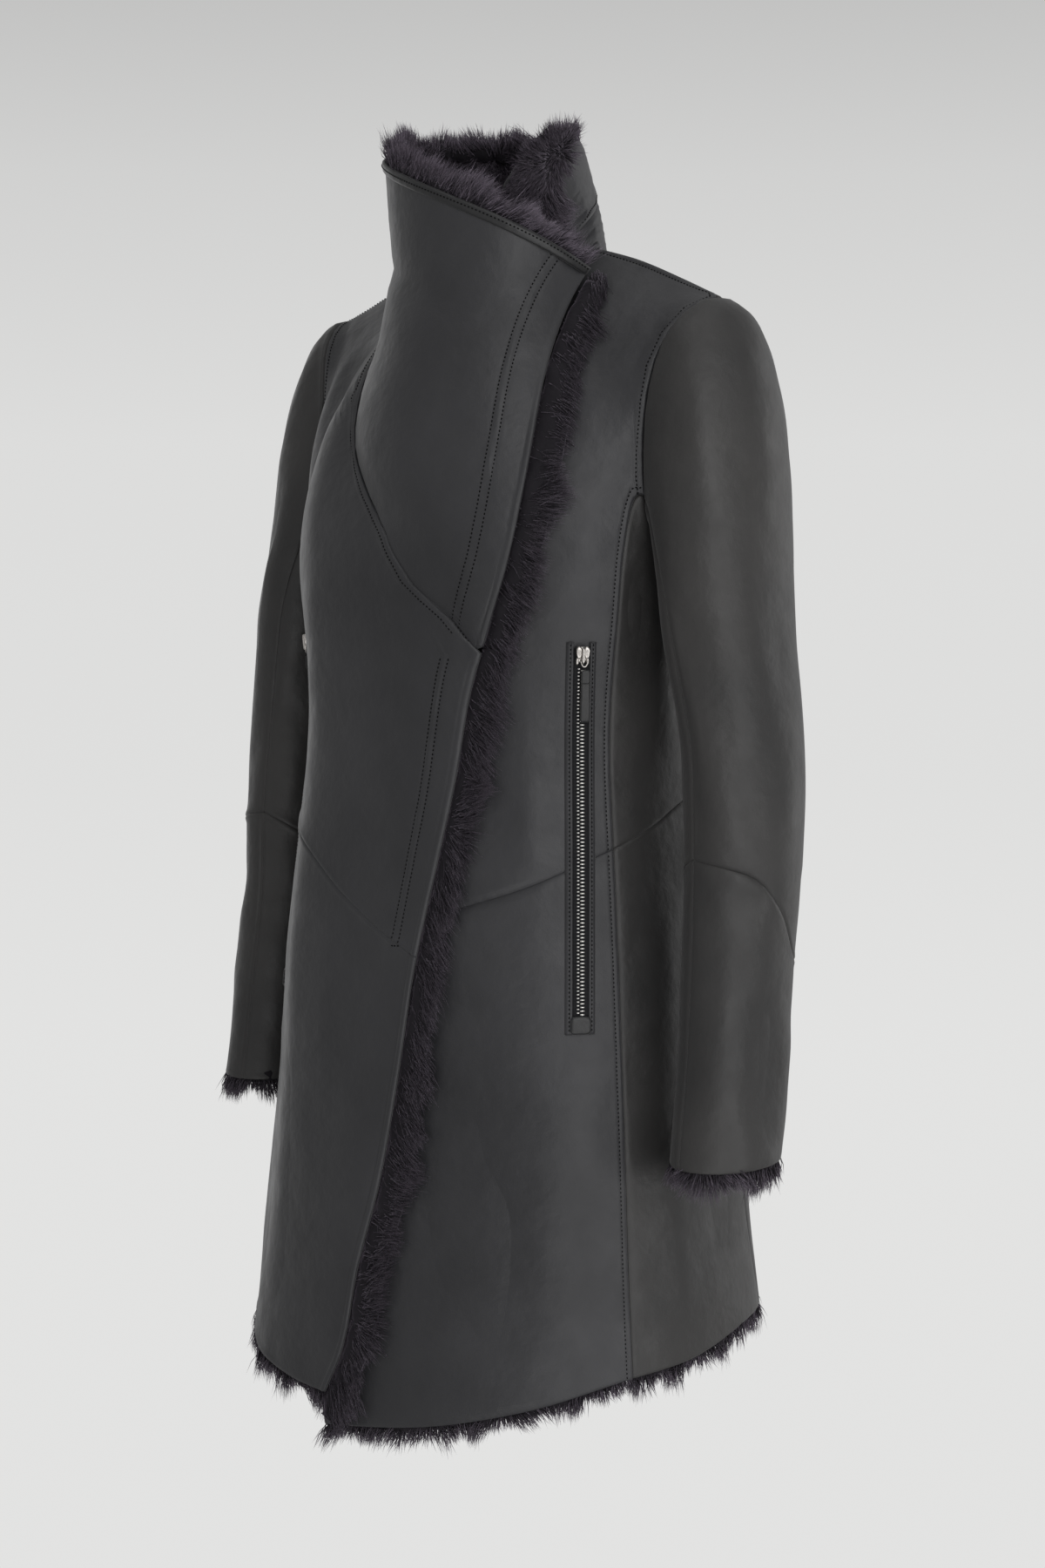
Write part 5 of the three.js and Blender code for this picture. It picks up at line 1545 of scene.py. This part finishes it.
TEETH, _, _ = new_material("zip_teeth", (0.95, 0.93, 0.9), 0.42, Metallic=1.0)
TAPE, tape_tree, tape_shader = new_material("zip_tape", (0.008, 0.008, 0.009), 0.85, Specular_IOR_Level=0.25)
weave = add_node(
    tape_tree, "ShaderNodeTexWave", {"bands_direction": "Z"}, Vector=object_place(tape_tree), Scale=420
)
weave_bump = add_node(tape_tree, "ShaderNodeBump", Height=weave.outputs["Fac"], Strength=0.6, Distance=0.0004)
tape_tree.links.new(weave_bump.outputs["Normal"], tape_shader.inputs["Normal"])
weave_color = two_colors(tape_tree, weave.outputs["Fac"], (0.005, 0.005, 0.006), (0.016, 0.016, 0.018))
tape_tree.links.new(weave_color, tape_shader.inputs["Base Color"])
print("zip materials made")

# %% [markdown]
# The zip's pieces are placed from its own line: across it, down it, and out from the panel. A rounded
# box whose outline is a superellipse serves for the slider, its pull and the end patch, in each one's
# own proportions, and the teeth are one small block repeated down the line.

# %% Pocket zips
TEETH_TOP = -293.0
TOOTH_PITCH = 2.5
TAPE_PROFILE = [(-6.8, 0.5), (-6.8, 1.0), (-3.4, 1.3), (3.4, 1.3), (6.8, 1.0), (6.8, 0.5)]
WELT_PROFILE = [
    (6.0, 0.2), (5.7, 1.2), (5.9, 1.9), (6.5, 2.15), (7.3, 1.9), (7.9, 1.35), (8.5, 1.45), (9.4, 0.9),
    (10.4, 0.1), (11.0, -0.9), (9, -0.9),
]
STITCH_ROW = 7.9


def zip_line(side, top, bottom, count):
    """A line down the zip on the panel's face, with the ways aside and out."""
    height = np.linspace(top, bottom, count)
    angle = np.full(count, ZIP_ANGLE * side)
    point = on_body(angle, height)
    out = outward(face, angle, height, 0.4, 1.5, 0)
    return point, unit(on_body(angle + 0.5, height) - point), out


def on_zip(side, x, z, lift):
    """A point beside the zip's line: x across, z down the zip, lift outward. All may be arrays."""
    x, z, lift = np.broadcast_arrays(*(np.asarray(v, float) for v in (x, z, lift)))
    angle = np.full(z.shape, ZIP_ANGLE * side)
    point = on_body(angle, z)
    aside = unit(on_body(angle + 0.5, z) - point)
    return point + aside * x[..., None] + outward(face, angle, z, 0.4, 1.5, 0) * lift[..., None]


def cushion_box(side, centre_x, centre_z, half_x, half_z, low, high, square=4.0, steps=9, plan=None):
    """A box with rounded sides: a superellipse in plan whose rim falls away as the fourth power."""
    turn = np.linspace(0, 2 * np.pi, 4 * steps, endpoint=False)
    radius = (np.abs(np.cos(turn)) ** square + np.abs(np.sin(turn)) ** square) ** (-1 / square)
    rings = np.array([0.9, 1.0, 1.0, 0.93, 0.72, 0.4])
    lifts = mix(low, high, np.array([0, 0.12, 0.62, 0.9, 1.0, 1.0]))
    x = rings[:, None] * radius * np.cos(turn) * half_x
    z = rings[:, None] * radius * np.sin(turn) * half_z
    if plan is not None:
        x = x * plan(z / half_z)
    points = on_zip(side, centre_x + x, centre_z + z, lifts[:, None] + 0 * x)
    return facing_out(tube(points))


def teeth(side):
    """Two columns of small bars, the right column half a pitch below the left."""
    z = np.arange(TEETH_TOP, ZIP_BOTTOM + 1, -TOOTH_PITCH)
    corner = np.array([(-1, -1, 0), (1, -1, 0), (1, 1, 0), (-1, 1, 0), (-0.8, -0.6, 1), (0.8, -0.6, 1),
                       (0.8, 0.6, 1), (-0.8, 0.6, 1)], float)
    quads = np.array([(0, 3, 2, 1), (4, 5, 6, 7), (0, 1, 5, 4), (1, 2, 6, 5), (2, 3, 7, 6), (3, 0, 4, 7)])
    parts = []
    for across, half, drop in ((-1.9, 0.95, 0.0), (1.2, 1.7, TOOTH_PITCH / 2)):
        x = across + corner[None, :, 0] * half
        down = z[:, None] - drop + corner[None, :, 1] * 0.55
        points = on_zip(side, x, down, 1.2 + corner[None, :, 2] * 1.5)
        faces = (quads[None] + (np.arange(len(z)) * 8)[:, None, None]).reshape(-1, 4)
        parts.append(facing_out((points.reshape(-1, 3), [faces])))
    return parts


def slider(side):
    """Two round shoulders that narrow downward, a bridge between them, and the wire that holds the pull."""
    top = ZIP_TOP + 2
    base = cushion_box(side, 0, top - 6.2, 5.2, 5.6, 1.4, 3.2, 3.2, plan=lambda v: 0.84 + 0.18 * v)
    shoulders = [
        cushion_box(side, 2.75 * k, top - 4.6, 2.5, 4.4, 2.8, 6.0, 2.5, plan=lambda v: 0.82 + 0.2 * v)
        for k in (-1, 1)
    ]
    legs = [
        cushion_box(side, 3.6 * k, top - 10.4, 1.0, 2.6, 1.6, 4.2, 2.6, plan=lambda v: 0.9 - 0.1 * v)
        for k in (-1, 1)
    ]
    bridge = cushion_box(side, 0, top - 6.4, 0.95, 5.9, 4.6, 7.4, 2.6)
    t = np.linspace(0, np.pi, 15)
    path = on_zip(side, 1.0 + 2.3 * np.cos(t), top - 10.2 - 4.0 * np.sin(t), 4.9 + 0.5 * np.sin(t))
    ahead = unit(np.gradient(path, axis=0))
    out = outward(face, np.full(15, ZIP_ANGLE * side), np.full(15, ZIP_TOP), 0.4, 1.5, 0)
    aside = unit(np.cross(ahead, out))
    turn = np.linspace(0, 2 * np.pi, 7)[:-1]
    across = aside[:, None] * np.cos(turn)[None, :, None] + out[:, None] * np.sin(turn)[None, :, None]
    wire = facing_out(tube(path[:, None] + 0.5 * across))
    return [base, *shoulders, *legs, bridge, wire]


def pocket_zip(side, name):
    """All the pieces of one zip."""
    line, aside, out = zip_line(side, ZIP_TOP, ZIP_BOTTOM, 90)
    tape = facing_out(carry(TAPE_PROFILE, line, aside, out))
    add_piece(f"tape_{name}", [tape], TAPE, [f"zip_{name}_tape"])
    add_piece(f"teeth_{name}", teeth(side), TEETH)
    add_piece(f"slider_{name}", slider(side), METAL, [f"zip_{name}_slider"])
    pull = cushion_box(side, 2.4, ZIP_TOP - 33.0, 3.3, 18.0, 3.0, 4.9, 9.0, 10, plan=lambda v: 0.95 - 0.1 * v)
    fold = cushion_box(side, 2.2, ZIP_TOP - 19.5, 3.0, 4.8, 4.2, 5.7, 7.0)
    add_piece(f"pull_{name}", [pull, fold], TRIM, [f"zip_{name}_pull"])
    patch = cushion_box(side, 0, ZIP_BOTTOM - 5.6, 7.2, 6.2, 0.7, 3.4, 6.0)
    add_piece(f"patch_{name}", [patch], TRIM, [f"zip_{name}_patch"])
    line, aside, out = zip_line(side, ZIP_TOP + 4, ZIP_BOTTOM - 12, 110)
    welts, rows = [], []
    for sign in (-1, 1):
        profile = [(x * sign, y) for x, y in WELT_PROFILE]
        welts.append(facing_out(carry(profile, line, aside, out)))
        rows.append(stitch_parts(line + aside * STITCH_ROW * sign + out * 1.4, out))
    add_piece(f"welts_{name}", welts, LEATHER)
    add_piece(f"stitches_zip_{name}", rows, THREAD)


for side, name in ((1, "left"), (-1, "right")):
    pocket_zip(side, name)
print("zips made,", DRAWN["triangles"], "triangles in all")

# %% [markdown]
# The stage is a round studio: a pale floor that curves up into a pale wall far behind. It glows for the camera,
# with painted shade that darkens it from the floor up the wall, but gives no light to the coat, so the lamps
# alone shape the leather. A tall soft lamp beside the camera makes the broad highlights, and narrow ones at
# both sides make the bright outlines.

# %% Stage and light
FLOOR = -1.6
ROOM = 6.0
COVE = 1.2
WALL_TOP = 4.0


def studio():
    """A floor, a cove and a wall as one profile turned round the Z axis."""
    turn = np.linspace(0, np.pi / 2, 12)
    radius = np.concatenate([[0.02, ROOM * 0.5], ROOM - COVE + COVE * np.sin(turn), [ROOM]])
    height = np.concatenate([[FLOOR, FLOOR], FLOOR + COVE * (1 - np.cos(turn)), [WALL_TOP]])
    around = np.linspace(0, 2 * np.pi, 97)[:-1]
    points = np.stack(
        [radius[:, None] * np.cos(around), radius[:, None] * np.sin(around), height[:, None] + 0 * around], -1
    )
    mesh = bpy.data.meshes.new("studio")
    faces = grid_faces(len(radius), len(around), around=True)
    mesh.from_pydata(points.reshape(-1, 3).tolist(), [], faces.tolist())
    mesh.shade_smooth()
    material = bpy.data.materials.new("pale_wall")
    material.use_nodes = True
    tree = material.node_tree
    tree.nodes.clear()
    height_of = add_node(tree, "ShaderNodeSeparateXYZ", Vector=object_place(tree)).outputs["Z"]
    share = add_node(tree, "ShaderNodeMapRange", Value=height_of)
    share.inputs["From Min"].default_value, share.inputs["From Max"].default_value = FLOOR, 1.6
    ramp = add_node(tree, "ShaderNodeValToRGB", Fac=share.outputs["Result"])
    # Painted shade on the backdrop: its glow falls from 0.765 on the floor to 0.5 higher up, darker towards the top of
    # the wall.
    painted_shade_stops = [(0.0, 0.765), (0.2, 0.735), (0.5, 0.72), (0.74, 0.635), (0.9, 0.54), (1.0, 0.5)]
    for place, tone in painted_shade_stops[2:]:
        ramp.color_ramp.elements.new(place)
    for element, (place, tone) in zip(ramp.color_ramp.elements, painted_shade_stops):
        element.position, element.color = place, (tone, tone, tone * 0.992, 1)
    glow = add_node(tree, "ShaderNodeEmission", Color=ramp.outputs["Color"])
    output = add_node(tree, "ShaderNodeOutputMaterial")
    tree.links.new(glow.outputs["Emission"], output.inputs["Surface"])
    mesh.materials.append(material)
    room = bpy.data.objects.new("studio", mesh)
    bpy.context.scene.collection.objects.link(room)
    room.visible_diffuse = room.visible_glossy = room.visible_shadow = False


def lamp(name, azimuth, elevation, distance, width, height, power, color=(1, 1, 1)):
    """A soft rectangular lamp that looks at the middle of the coat."""
    data = bpy.data.lights.new(name, "AREA")
    data.shape, data.size, data.size_y, data.energy, data.color = "RECTANGLE", width, height, power, color
    obj = bpy.data.objects.new(name, data)
    a, e = np.radians(azimuth), np.radians(elevation)
    back = np.array([np.sin(a) * np.cos(e), -np.cos(a) * np.cos(e), np.sin(e)])
    right = unit(np.cross([0, 0, 1.0], back))
    matrix = np.eye(4)
    matrix[:3, 0], matrix[:3, 1], matrix[:3, 2] = right, np.cross(back, right), back
    matrix[:3, 3] = np.array([0, 0, -0.38]) + back * distance
    obj.matrix_world = Matrix(matrix.tolist())
    obj.visible_camera = False
    bpy.context.scene.collection.objects.link(obj)


studio()
lamp("key", 64, 20, 2.7, 1.6, 2.2, 25)
lamp("fill", -2, 10, 2.8, 1.4, 2.2, 3.5)
lamp("side", 90, -14, 2.5, 1.0, 1.4, 10)
lamp("floor_bounce", 44, -26, 2.4, 2.0, 1.0, 12)
lamp("left_edge", -106, 4, 2.4, 0.9, 2.2, 4.5)
lamp("right_edge", 152, 6, 2.4, 1.3, 2.2, 9)
lamp("top", 42, 76, 2.2, 1.8, 1.8, 7)
world = bpy.data.worlds.new("world")
world.use_nodes = True
world.node_tree.nodes["Background"].inputs["Color"].default_value = (0.8, 0.8, 0.8, 1)
world.node_tree.nodes["Background"].inputs["Strength"].default_value = 0.42
bpy.context.scene.world = world
bpy.context.scene.view_settings.view_transform = "Standard"
print("stage lit")
